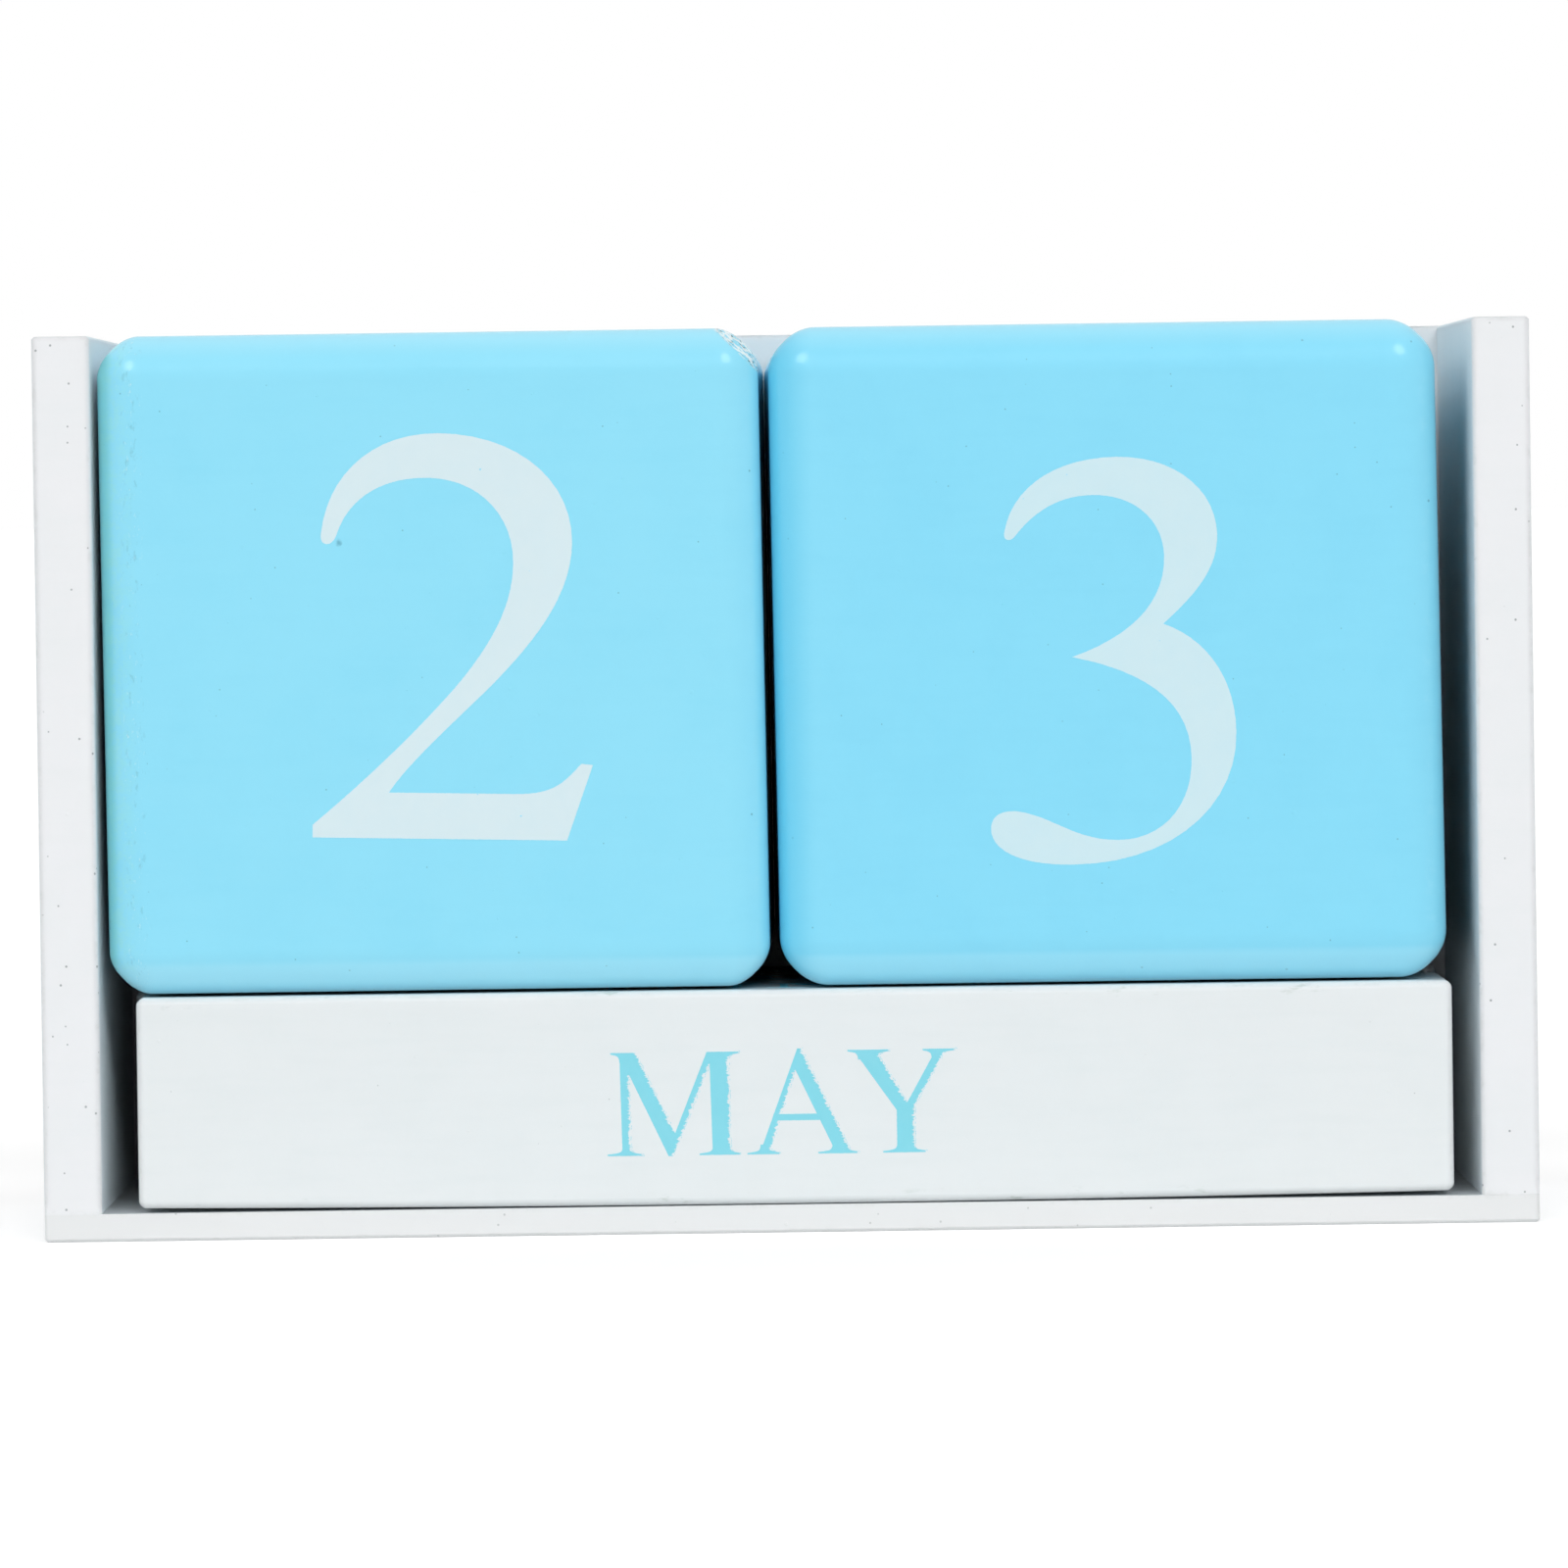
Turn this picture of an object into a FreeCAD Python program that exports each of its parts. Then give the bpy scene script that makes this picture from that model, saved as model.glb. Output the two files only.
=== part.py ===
import FreeCAD, Part
import os

import Sketcher
from FreeCAD import Placement, Rotation, Vector

# Perpetual block calendar: a painted wooden tray that holds three month bars and two day cubes.
#
# The tray is four thin boards, butt-jointed, glued and pinned: a floor board, two side walls that
# stand on it, and a back board that covers the rear edges of all three. Three square bars lie on
# the floor board one behind the other, and each long side of a bar is for one month. Two cubes
# stand on the bars side by side and show the day. Only their own weight holds the bars and the
# cubes: the bars draw out of the open front and the cubes lift out of the open top.
#
# Frame, in millimetres: origin under the middle of the tray, on the surface that it stands on;
# +X to the reader's right, +Y to the back, +Z up. The cube sets every overall size: the tray is two
# cubes wide and one cube deep, and the bars fill it below the cubes, three to its depth.

# ---------------------------------------------------------------- driving dimensions
SIZES = {
    # day cubes
    "cube_side": 57.5,
    "tens_chamfer": 2.5,  # edges of the left cube: planed off at 45 degrees,
    "tens_softening": 1.8,  # then sanded round
    "units_chamfer": 3.1,  # the right cube is sanded rounder
    "units_softening": 3.7,
    "softening_limit": 1.2,  # largest softening of a cube's edges, in chamfers
    "cube_left_gap": 0.7,  # left wall to left cube
    "cube_pair_gap": 0.9,  # left cube to right cube
    "cube_right_gap": 3.4,  # right cube to right wall
    "cube_setback": 0.1,  # cube's face behind the tray's front edge
    "cube_back_gap": 0.1,
    # month bars, square in section
    "bar_rounding": 0.6,  # long edges, rounded when the stock is moulded
    "bar_arris": 0.4,  # end edges, taken off after it is cut to length
    "bar_end_gap": 2.8,  # between a centred bar and each wall
    "bar_setback": 0.2,  # front bar's face behind the tray's front edge
    "bar_play": 0.2,  # one bar to the next
    "bar_back_gap": 1.0,
    "front_bar_shift": 0.4,  # how far each bar lies off the middle of the tray
    "middle_bar_shift": -0.5,
    "rear_bar_shift": 0.9,
    "slip": 0.02,  # under each bar and each cube, so that paint never binds on paint
    # tray boards
    "wall_thick": 5.0,
    "floor_thick": 2.4,
    "back_thick": 2.4,
    "rim_rise": 0.06,  # walls above the tops of the cubes
    "board_arris": 0.25,  # sharp edges taken off the tray after it is glued
    # headed panel pins that hold the boards while the glue sets
    "pin_shank": 0.8,
    "pin_head": 1.3,
    "pin_head_thick": 0.5,
    "pin_length": 12.0,
    "pin_sink": 0.4,  # head below the board's face
    "pin_fit": 0.01,  # radial clearance of shank and head
    "pin_end_room": 0.3,  # hole goes on past the pin's end
    "pin_margin": 8.0,  # first and last pin from the ends of a row
    "pin_crossing": 4.6,  # wood between the ends of the floor pins and the lowest back pins
}
BARS = ("front", "middle", "rear")  # twelve months, one to each long side
PINS_IN_ROW = 2  # one near each end of every joint

# values worked out from the sizes, in the order in which they build on each other
DERIVED = {
    "inner_width": "2 * cube_side + cube_left_gap + cube_pair_gap + cube_right_gap",
    "inner_depth": "cube_setback + cube_side + cube_back_gap",
    "bar_length": "inner_width - 2 * bar_end_gap",
    "bar_room": f"inner_depth - bar_setback - bar_back_gap - {len(BARS) - 1} * bar_play",
    "bar_side": f"bar_room / {len(BARS)}",
    "bar_pitch": "bar_side + bar_play",
    "bar_level": "floor_thick + slip",
    "cube_level": "bar_level + bar_side + slip",
    "inner_height": "cube_level + cube_side + rim_rise - floor_thick",
    "tray_width": "inner_width + 2 * wall_thick",
    "tray_depth": "inner_depth + back_thick",
    "tray_height": "inner_height + floor_thick",
    "half_width": "tray_width / 2",
    "half_depth": "tray_depth / 2",
    "wall_middle": "half_width - wall_thick / 2",
    "pin_hole": "pin_shank + 2 * pin_fit",
    "head_hole": "pin_head + 2 * pin_fit",
    "head_seat": "pin_sink + pin_head_thick",
    "pin_reach": "pin_sink + pin_length + pin_end_room",
    "floor_pin_bite": "pin_reach - floor_thick",
    "back_pin_bite": "pin_reach - back_thick",
    "floor_row_span": "inner_depth - 2 * pin_margin",
    "back_row_start": "floor_pin_bite + pin_crossing",
    "back_row_span": "inner_height - back_row_start - pin_margin",
    "edge_row_span": "inner_width - 4 * pin_margin",
}

doc = FreeCAD.newDocument("BlockCalendar")


def make_sheet():
    """Write the driving and the derived values, one aliased cell each."""
    sheet = doc.addObject("Spreadsheet::Sheet", "Sizes")
    rows = {name: str(value) for name, value in SIZES.items()}
    rows.update({name: f"={formula}" for name, formula in DERIVED.items()})
    for number, (name, content) in enumerate(rows.items(), start=1):
        sheet.set(f"A{number}", name)
        sheet.set(f"B{number}", content)
        sheet.setAlias(f"B{number}", name)
    doc.recompute()


# ---------------------------------------------------------------- sketch and feature helpers
def origin_item(body, role):
    """One of the body's own origin planes or axes, found by its role."""
    return next(item for item in body.Origin.OriginFeatures if item.Role == role)


def add_sketch(body, name, role="XY_Plane", lift=None):
    """A sketch on an origin plane. `lift` is an expression that raises it along the plane's normal."""
    sketch = body.newObject("Sketcher::SketchObject", name)
    sketch.AttachmentSupport = [(origin_item(body, role), "")]
    sketch.MapMode = "FlatFace"
    if lift:
        sketch.setExpression("AttachmentOffset.Base.z", lift)
    return sketch


def dimension(sketch, kind, geometry, name, expression):
    """Add a named dimension that reads its value from the sheet."""
    placeholder = 1.0
    index = sketch.addConstraint(Sketcher.Constraint(kind, *geometry, placeholder))
    sketch.renameConstraint(index, name)
    sketch.setExpression(f"Constraints.{name}", expression)


def draw_outline(sketch, corners, level, upright):
    """A closed outline of straight lines. `level` and `upright` list the lines kept square."""
    points = [Vector(x, y, 0) for x, y in corners]
    for start, end in zip(points, points[1:] + points[:1]):
        sketch.addGeometry(Part.LineSegment(start, end))
    for line in range(len(points)):
        following = (line + 1) % len(points)
        sketch.addConstraint(Sketcher.Constraint("Coincident", line, 2, following, 1))
    for line in level:
        sketch.addConstraint(Sketcher.Constraint("Horizontal", line))
    for line in upright:
        sketch.addConstraint(Sketcher.Constraint("Vertical", line))


def draw_rectangle(sketch, width, depth, left):
    """A rectangle with its lower side on the X axis and its left side at `left`."""
    draw_outline(sketch, [(0, 0), (2, 0), (2, 2), (0, 2)], level=(0, 2), upright=(1, 3))
    sketch.addConstraint(Sketcher.Constraint("PointOnObject", 0, 1, -1))
    dimension(sketch, "DistanceX", (0, 1, 0, 2), "Width", width)
    dimension(sketch, "DistanceY", (1, 1, 1, 2), "Depth", depth)
    dimension(sketch, "DistanceX", (-1, 1, 0, 1), "Left", left)


def draw_holes(sketch, places):
    """Pin-hole circles, each centred at a pair of expressions."""
    for number, (across, along) in enumerate(places):
        sketch.addGeometry(Part.Circle(Vector(number, number, 0), Vector(0, 0, 1), 0.5))
        dimension(sketch, "Diameter", (number,), f"Diameter{number}", "Sizes.pin_hole")
        dimension(sketch, "DistanceX", (-1, 1, number, 3), f"Across{number}", across)
        dimension(sketch, "DistanceY", (-1, 1, number, 3), f"Along{number}", along)
    doc.recompute()


def add_sawn(name, width, depth, height, left="0"):
    """A body that is one sawn block, and the pad that makes it."""
    body = doc.addObject("PartDesign::Body", name)
    outline = add_sketch(body, f"{name}_outline")
    draw_rectangle(outline, width, depth, left)
    pad = body.newObject("PartDesign::Pad", f"{name}_sawn")
    pad.Profile = outline
    pad.setExpression("Length", height)
    doc.recompute()
    return body, pad


def any_edge(edge):
    """Every edge of a block."""
    return True


def long_edge(edge):
    """An edge that runs the whole length of a bar, along X."""
    box = edge.BoundBox
    return box.XLength > max(box.YLength, box.ZLength)


def end_edge(edge):
    """An edge that lies in one of a bar's two end faces."""
    return edge.BoundBox.XLength < 1e-3


def work_edges(body, base, kind, expression, wanted=any_edge):
    """Chamfer or fillet the wanted edges of a feature."""
    measure = {"Chamfer": "Size", "Fillet": "Radius"}[kind]
    work = body.newObject(f"PartDesign::{kind}", f"{base.Name}_{kind.lower()}")
    edges = enumerate(base.Shape.Edges, start=1)
    work.Base = (base, [f"Edge{number}" for number, edge in edges if wanted(edge)])
    work.setExpression(measure, expression)
    body.Tip = work
    doc.recompute()
    return work


def place(item, x="0", y="0", z="0"):
    """Put an object at a point given by expressions."""
    for axis, expression in zip("xyz", (x, y, z)):
        item.setExpression(f"Placement.Base.{axis}", expression)
    doc.recompute()
    return item


def finish_cut(body, feature, volume_before):
    """Make a cut the body's tip, and check that it took wood away."""
    body.Tip = feature
    doc.recompute()
    if body.Shape.Volume > volume_before - 1e-6:
        raise RuntimeError(f"{feature.Name} cut nothing")
    return feature


def drill(body, name, places, depth, **where):
    """Plain pin holes of a given depth, along the sketch plane's normal."""
    before = body.Shape.Volume
    points = add_sketch(body, f"{name}_points", **where)
    draw_holes(points, places)
    pocket = body.newObject("PartDesign::Pocket", name)
    pocket.Profile = points
    pocket.setExpression("Length", depth)
    pocket.Reversed = True
    return finish_cut(body, pocket, before)


def drill_headed(body, name, places, board, **where):
    """Pin holes right through a board, each with a seat for a sunk head on the sketch's side."""
    before = body.Shape.Volume
    points = add_sketch(body, f"{name}_points", **where)
    draw_holes(points, places)
    hole = body.newObject("PartDesign::Hole", name)
    hole.Profile = points
    doc.recompute()
    hole.Reversed = True
    hole.DepthType = "Dimension"
    hole.DrillPoint = "Flat"
    hole.ThreadType = "None"
    hole.HoleCutType = "Counterbore"
    hole.HoleCutCustomValues = True
    hole.setExpression("Diameter", "Sizes.pin_hole")
    hole.setExpression("Depth", board)
    hole.setExpression("HoleCutDiameter", "Sizes.head_hole")
    hole.setExpression("HoleCutDepth", "Sizes.head_seat")
    return finish_cut(body, hole, before)


def repeat(body, feature, axis, span):
    """Repeat a drilled feature in an even row over `span`."""
    before = body.Shape.Volume
    row = body.newObject("PartDesign::LinearPattern", f"{feature.Name}_row")
    row.Originals = [feature]
    row.Direction = (origin_item(body, axis), [""])
    row.setExpression("Length", span)
    row.Occurrences = PINS_IN_ROW
    finish_cut(body, row, before)


# ---------------------------------------------------------------- tray boards
REAR_FACE = {"role": "XZ_Plane", "lift": "-Sizes.inner_depth"}  # of the floor board and the walls
BACK_FACE = {"role": "XZ_Plane", "lift": "-Sizes.back_thick"}  # of the back board


def outside(block, glued):
    """A test that picks the edges of a block that lie in none of its glued sides."""
    ends = {"front": ("Y", "Min"), "rear": ("Y", "Max"), "bottom": ("Z", "Min"), "top": ("Z", "Max")}

    def lies_in(edge, side):
        axis, end = ends[side]
        plane = getattr(block, f"{axis}{end}")
        return all(abs(getattr(edge.BoundBox, f"{axis}{e}") - plane) < 1e-3 for e in ("Min", "Max"))

    return lambda edge: not any(lies_in(edge, side) for side in glued)


def add_board(name, width, depth, height, glued, left="0"):
    """A board that is sharp where it is glued, with its other edges taken off with sandpaper."""
    body, pad = add_sawn(name, width, depth, height, left)
    work_edges(body, pad, "Chamfer", "Sizes.board_arris", outside(pad.Shape.BoundBox, glued))
    return body


def both_walls(height):
    """Pin places in the middle of the left wall and of the right wall."""
    return [("-Sizes.wall_middle", height), ("Sizes.wall_middle", height)]


def make_floor_board():
    """Full-width board under the walls, drilled from below and in its rear edge."""
    body = add_board(
        "floor_board", "Sizes.tray_width", "Sizes.inner_depth", "Sizes.floor_thick",
        ("top", "rear"), "-Sizes.half_width",
    )
    under = drill_headed(body, "floor_pin_holes", both_walls("Sizes.pin_margin"), "Sizes.floor_thick")
    repeat(body, under, "Y_Axis", "Sizes.floor_row_span")
    first = [("-Sizes.edge_row_span / 2", "Sizes.floor_thick / 2")]
    rear = drill(body, "rear_edge_holes", first, "Sizes.back_pin_bite", **REAR_FACE)
    repeat(body, rear, "X_Axis", "Sizes.edge_row_span")
    return place(body, y="-Sizes.half_depth")


def make_wall(name, left):
    """A side wall: it stands on the floor board and takes pins from below and from behind."""
    body = add_board(
        name, "Sizes.wall_thick", "Sizes.inner_depth", "Sizes.inner_height", ("bottom", "rear")
    )
    lowest = [("Sizes.wall_thick / 2", "Sizes.pin_margin")]
    below = drill(body, f"{name}_floor_holes", lowest, "Sizes.floor_pin_bite")
    repeat(body, below, "Y_Axis", "Sizes.floor_row_span")
    rearmost = [("Sizes.wall_thick / 2", "Sizes.back_row_start")]
    behind = drill(body, f"{name}_back_holes", rearmost, "Sizes.back_pin_bite", **REAR_FACE)
    repeat(body, behind, "Z_Axis", "Sizes.back_row_span")
    return place(body, x=left, y="-Sizes.half_depth", z="Sizes.floor_thick")


def make_back_board():
    """Board over the rear edges of the walls and of the floor board, drilled from behind."""
    body = add_board(
        "back_board", "Sizes.tray_width", "Sizes.back_thick", "Sizes.tray_height",
        ("front",), "-Sizes.half_width",
    )
    lowest = both_walls("Sizes.floor_thick + Sizes.back_row_start")
    walls = drill_headed(body, "wall_pin_holes", lowest, "Sizes.back_thick", **BACK_FACE)
    repeat(body, walls, "Z_Axis", "Sizes.back_row_span")
    first = [("-Sizes.edge_row_span / 2", "Sizes.floor_thick / 2")]
    edge = drill_headed(body, "floor_edge_pin_holes", first, "Sizes.back_thick", **BACK_FACE)
    repeat(body, edge, "X_Axis", "Sizes.edge_row_span")
    return place(body, y="Sizes.half_depth - Sizes.back_thick")


# ---------------------------------------------------------------- pins
def make_pin():
    """The panel pin that every row repeats: turned about Z, with the top of its head at the origin."""
    body = doc.addObject("PartDesign::Body", "panel_pin")
    profile = add_sketch(body, "pin_profile", "XZ_Plane")
    corners = [(0, 0), (2, 0), (2, 1), (1, 1), (1, 10), (0, 10)]
    draw_outline(profile, corners, level=(0, 2, 4), upright=(1, 3, 5))
    profile.addConstraint(Sketcher.Constraint("Coincident", 0, 1, -1, 1))
    dimension(profile, "DistanceX", (-1, 1, 0, 2), "HeadRadius", "Sizes.pin_head / 2")
    dimension(profile, "DistanceY", (-1, 1, 1, 2), "HeadThick", "Sizes.pin_head_thick")
    dimension(profile, "DistanceX", (-1, 1, 2, 2), "ShankRadius", "Sizes.pin_shank / 2")
    dimension(profile, "DistanceY", (-1, 1, 3, 2), "Length", "Sizes.pin_length")
    doc.recompute()
    turned = body.newObject("PartDesign::Revolution", "pin_turned")
    turned.Profile = profile
    turned.ReferenceAxis = (profile, ["V_Axis"])
    turned.Angle = 360
    body.Tip = turned
    doc.recompute()
    return body


def make_row(pin, name, first, axis, span, turn):
    """Links to the pin in an even row: `first` is the first head's place, as three expressions."""
    row = []
    for number in range(PINS_IN_ROW):
        link = doc.addObject("App::Link", f"{name}_{number + 1}")
        link.LinkedObject = pin
        link.LinkTransform = False
        link.Placement = Placement(Vector(), turn)
        spot = dict(first)
        spot[axis] += f" + {span} * {number} / {PINS_IN_ROW - 1}"
        row.append(place(link, **spot))
    return row


def group_pins(name, rows):
    """One sub-part that holds separate pins."""
    group = doc.addObject("Part::Compound", name)
    group.Links = [link for row in rows for link in row]
    doc.recompute()
    return group


def make_floor_pins(pin):
    """Pins driven up through the floor board into the side walls."""
    rows = []
    for side, sign in (("left", "-"), ("right", "")):
        first = {
            "x": f"{sign}Sizes.wall_middle",
            "y": "Sizes.pin_margin - Sizes.half_depth",
            "z": "Sizes.pin_sink",
        }
        rows.append(make_row(pin, f"{side}_floor_pin", first, "y", "Sizes.floor_row_span", Rotation()))
    return group_pins("floor_pins", rows)


def make_back_pins(pin):
    """Pins driven forward through the back board into the side walls and the floor board."""
    forward = Rotation(Vector(0, 0, 1), Vector(0, -1, 0))
    head = "Sizes.half_depth - Sizes.pin_sink"
    rows = []
    for side, sign in (("left", "-"), ("right", "")):
        first = {
            "x": f"{sign}Sizes.wall_middle",
            "y": head,
            "z": "Sizes.floor_thick + Sizes.back_row_start",
        }
        rows.append(make_row(pin, f"{side}_back_pin", first, "z", "Sizes.back_row_span", forward))
    first = {"x": "-Sizes.edge_row_span / 2", "y": head, "z": "Sizes.floor_thick / 2"}
    rows.append(make_row(pin, "edge_pin", first, "x", "Sizes.edge_row_span", forward))
    return group_pins("back_pins", rows)


# ---------------------------------------------------------------- loose blocks
def make_bar(row, position):
    """A month bar. `row` counts back from the bar that shows, and `position` names it."""
    body, pad = add_sawn(
        f"{position}_month_bar", "Sizes.bar_length", "Sizes.bar_side", "Sizes.bar_side",
        "-Sizes.bar_length / 2",
    )
    moulded = work_edges(body, pad, "Fillet", "Sizes.bar_rounding", long_edge)
    work_edges(body, moulded, "Chamfer", "Sizes.bar_arris", end_edge)
    front = f"-Sizes.half_depth + Sizes.bar_setback + {row} * Sizes.bar_pitch"
    return place(body, x=f"Sizes.{position}_bar_shift", y=front, z="Sizes.bar_level")


def make_cube(position, left):
    """A day cube that stands on the bars, its face just behind the tray's front edge."""
    side = "Sizes.cube_side"
    body, pad = add_sawn(f"{position}_cube", side, side, side)
    chamfer = f"Sizes.{position}_chamfer"
    planed = work_edges(body, pad, "Chamfer", chamfer)
    softening = f"min(Sizes.{position}_softening, Sizes.softening_limit * {chamfer})"
    work_edges(body, planed, "Fillet", softening)
    face = "-Sizes.half_depth + Sizes.cube_setback"
    return place(body, x=left, y=face, z="Sizes.cube_level")


# ---------------------------------------------------------------- assembly
def build():
    """Every sub-part of the calendar, as document objects whose labels name their files."""
    make_sheet()
    pin = make_pin()
    tens_left = "-Sizes.half_width + Sizes.wall_thick + Sizes.cube_left_gap"
    units_left = f"{tens_left} + Sizes.cube_side + Sizes.cube_pair_gap"
    tray = [
        make_floor_board(),
        make_wall("left_wall", "-Sizes.half_width"),
        make_wall("right_wall", "Sizes.half_width - Sizes.wall_thick"),
        make_back_board(),
        make_floor_pins(pin),
        make_back_pins(pin),
    ]
    bars = [make_bar(row, position) for row, position in enumerate(BARS)]
    cubes = [make_cube("tens", tens_left), make_cube("units", units_left)]
    return tray + bars + cubes


def check(subparts):
    """Stop if any object failed, or any sub-part is not made of valid closed solids."""
    for item in doc.Objects:
        if "Invalid" in item.State or "Error" in item.State:
            raise RuntimeError(f"{item.Name} failed: {item.State}")
    for item in subparts:
        shape = item.Shape
        if shape.isNull() or not shape.isValid() or not shape.Solids:
            raise RuntimeError(f"{item.Label} has no valid shape")
        if not all(solid.isClosed() and solid.Volume > 0 for solid in shape.Solids):
            raise RuntimeError(f"{item.Label} has an open or empty solid")


def export(subparts):
    """Write each sub-part to its own file and print its size."""
    os.makedirs("parts", exist_ok=True)
    for item in subparts:
        item.Shape.exportStep(os.path.join("parts", f"{item.Label}.step"))
        box = item.Shape.BoundBox
        print(
            f"{item.Label}: {len(item.Shape.Solids)} solid(s), {item.Shape.Volume:.1f} mm3, "
            f"{box.XLength:.2f} x {box.YLength:.2f} x {box.ZLength:.2f} mm"
        )


subparts = build()
doc.recompute()
check(subparts)
export(subparts)
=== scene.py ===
"""Looks of a perpetual block calendar: a painted tray, two day cubes and three month bars.

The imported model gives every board, bar and cube its shape and place. This script gives them
their paint and wear, and prints the numerals and the month names. Lengths are in millimetres
up to the point where a mesh or a node is made, and in metres from there on.
"""

import logging
import math
import random
from dataclasses import dataclass, field
from enum import Enum
from typing import ClassVar, Iterable, NamedTuple, Optional, Union

import bmesh
import bpy
from mathutils import Matrix, Vector, noise
from mathutils.geometry import delaunay_2d_cdt, interpolate_bezier


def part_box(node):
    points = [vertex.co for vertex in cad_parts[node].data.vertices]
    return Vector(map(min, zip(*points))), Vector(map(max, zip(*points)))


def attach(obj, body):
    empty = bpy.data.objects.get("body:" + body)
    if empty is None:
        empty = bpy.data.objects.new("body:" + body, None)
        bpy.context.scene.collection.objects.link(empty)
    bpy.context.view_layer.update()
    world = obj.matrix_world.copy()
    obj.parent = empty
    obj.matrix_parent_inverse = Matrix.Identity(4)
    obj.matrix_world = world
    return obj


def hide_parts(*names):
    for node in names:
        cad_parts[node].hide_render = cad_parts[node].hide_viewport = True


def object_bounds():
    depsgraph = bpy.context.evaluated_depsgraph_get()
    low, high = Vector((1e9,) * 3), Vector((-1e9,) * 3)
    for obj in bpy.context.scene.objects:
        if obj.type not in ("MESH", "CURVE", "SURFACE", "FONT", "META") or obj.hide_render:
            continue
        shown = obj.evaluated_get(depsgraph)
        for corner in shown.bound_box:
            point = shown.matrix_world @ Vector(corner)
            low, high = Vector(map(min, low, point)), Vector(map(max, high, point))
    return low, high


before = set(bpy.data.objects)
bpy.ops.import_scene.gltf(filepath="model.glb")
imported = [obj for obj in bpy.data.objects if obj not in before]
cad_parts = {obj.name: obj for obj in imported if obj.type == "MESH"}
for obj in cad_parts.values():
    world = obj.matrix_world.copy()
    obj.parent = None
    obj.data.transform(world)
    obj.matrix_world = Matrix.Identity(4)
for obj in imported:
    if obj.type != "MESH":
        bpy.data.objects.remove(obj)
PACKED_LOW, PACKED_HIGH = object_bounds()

log = logging.getLogger("calendar")

MM = 0.001
WHITE = (1.0, 1.0, 1.0, 1.0)

Colour = tuple[int, int, int]
Point = tuple[float, float]
Span = tuple[float, float]  # where a mark starts and where it is whole
Triple = tuple[float, float, float]
Socket = bpy.types.NodeSocket
Value = Union[float, tuple, Socket]

FRONT: Span = (-23.5, -27.0)  # how far forward a front starts and is whole


class Slot(Enum):
    """The record's material slots, which each piece's finish notes without using."""

    TRAY = "tray_paint"
    BAR = "bar_paint"
    CUBE = "cube_paint"


class Side(Enum):
    """A side of a block: its outward normal, and the directions in which print reads and stands."""

    FRONT = ((0, -1, 0), (1, 0, 0), (0, 0, 1))
    TOP = ((0, 0, 1), (1, 0, 0), (0, 1, 0))
    BACK = ((0, 1, 0), (1, 0, 0), (0, 0, -1))
    BOTTOM = ((0, 0, -1), (1, 0, 0), (0, -1, 0))
    LEFT = ((-1, 0, 0), (0, -1, 0), (0, 0, 1))
    RIGHT = ((1, 0, 0), (0, 1, 0), (0, 0, 1))

    def __init__(self, *directions: tuple[int, int, int]) -> None:
        """Keep the three directions as vectors."""
        self.normal, self.reading, self.upright = (Vector(way) for way in directions)


class Box(NamedTuple):
    """A block's lowest and highest corner, in metres."""

    low: Vector
    high: Vector

    @property
    def middle(self) -> Vector:
        """The point in its middle."""
        return (self.low + self.high) / 2

    @property
    def half(self) -> Vector:
        """Half its size."""
        return (self.high - self.low) / 2


def linear(colour: Colour) -> tuple[float, float, float, float]:
    """A display colour as linear red, green, blue and alpha.

    Args:
        colour: Red, green and blue as shown on a screen, each 0 to 255.

    Returns:
        The same colour as scene-linear values.
    """
    knee, foot, gain, power = 0.04045, 12.92, 1.055, 2.4
    shares = [channel / 255 for channel in colour]
    curved = [s / foot if s <= knee else ((s + gain - 1) / gain) ** power for s in shares]
    return (*curved, 1.0)


# ---------------------------------------------------------------- node wiring
@dataclass(frozen=True)
class Clouds:
    """Cloudy noise."""

    size: float  # of one cloud, in millimetres
    detail: float = 2.0  # how many finer layers there are
    roughness: float = 0.5  # how strong they are


@dataclass(frozen=True)
class Patches(Clouds):
    """Cloudy noise cut into patches, from where a patch starts to where it is whole."""

    start: float = 0.0
    full: float = 1.0


@dataclass(frozen=True)
class Dots:
    """Round dots strewn at random. Lengths are in millimetres."""

    spacing: float  # the size of the cell that may hold one dot
    radius: float  # the largest dot's
    share: float  # of the cells that hold a dot
    smallest: float = 0.4  # the smallest dot's share of the largest


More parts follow.
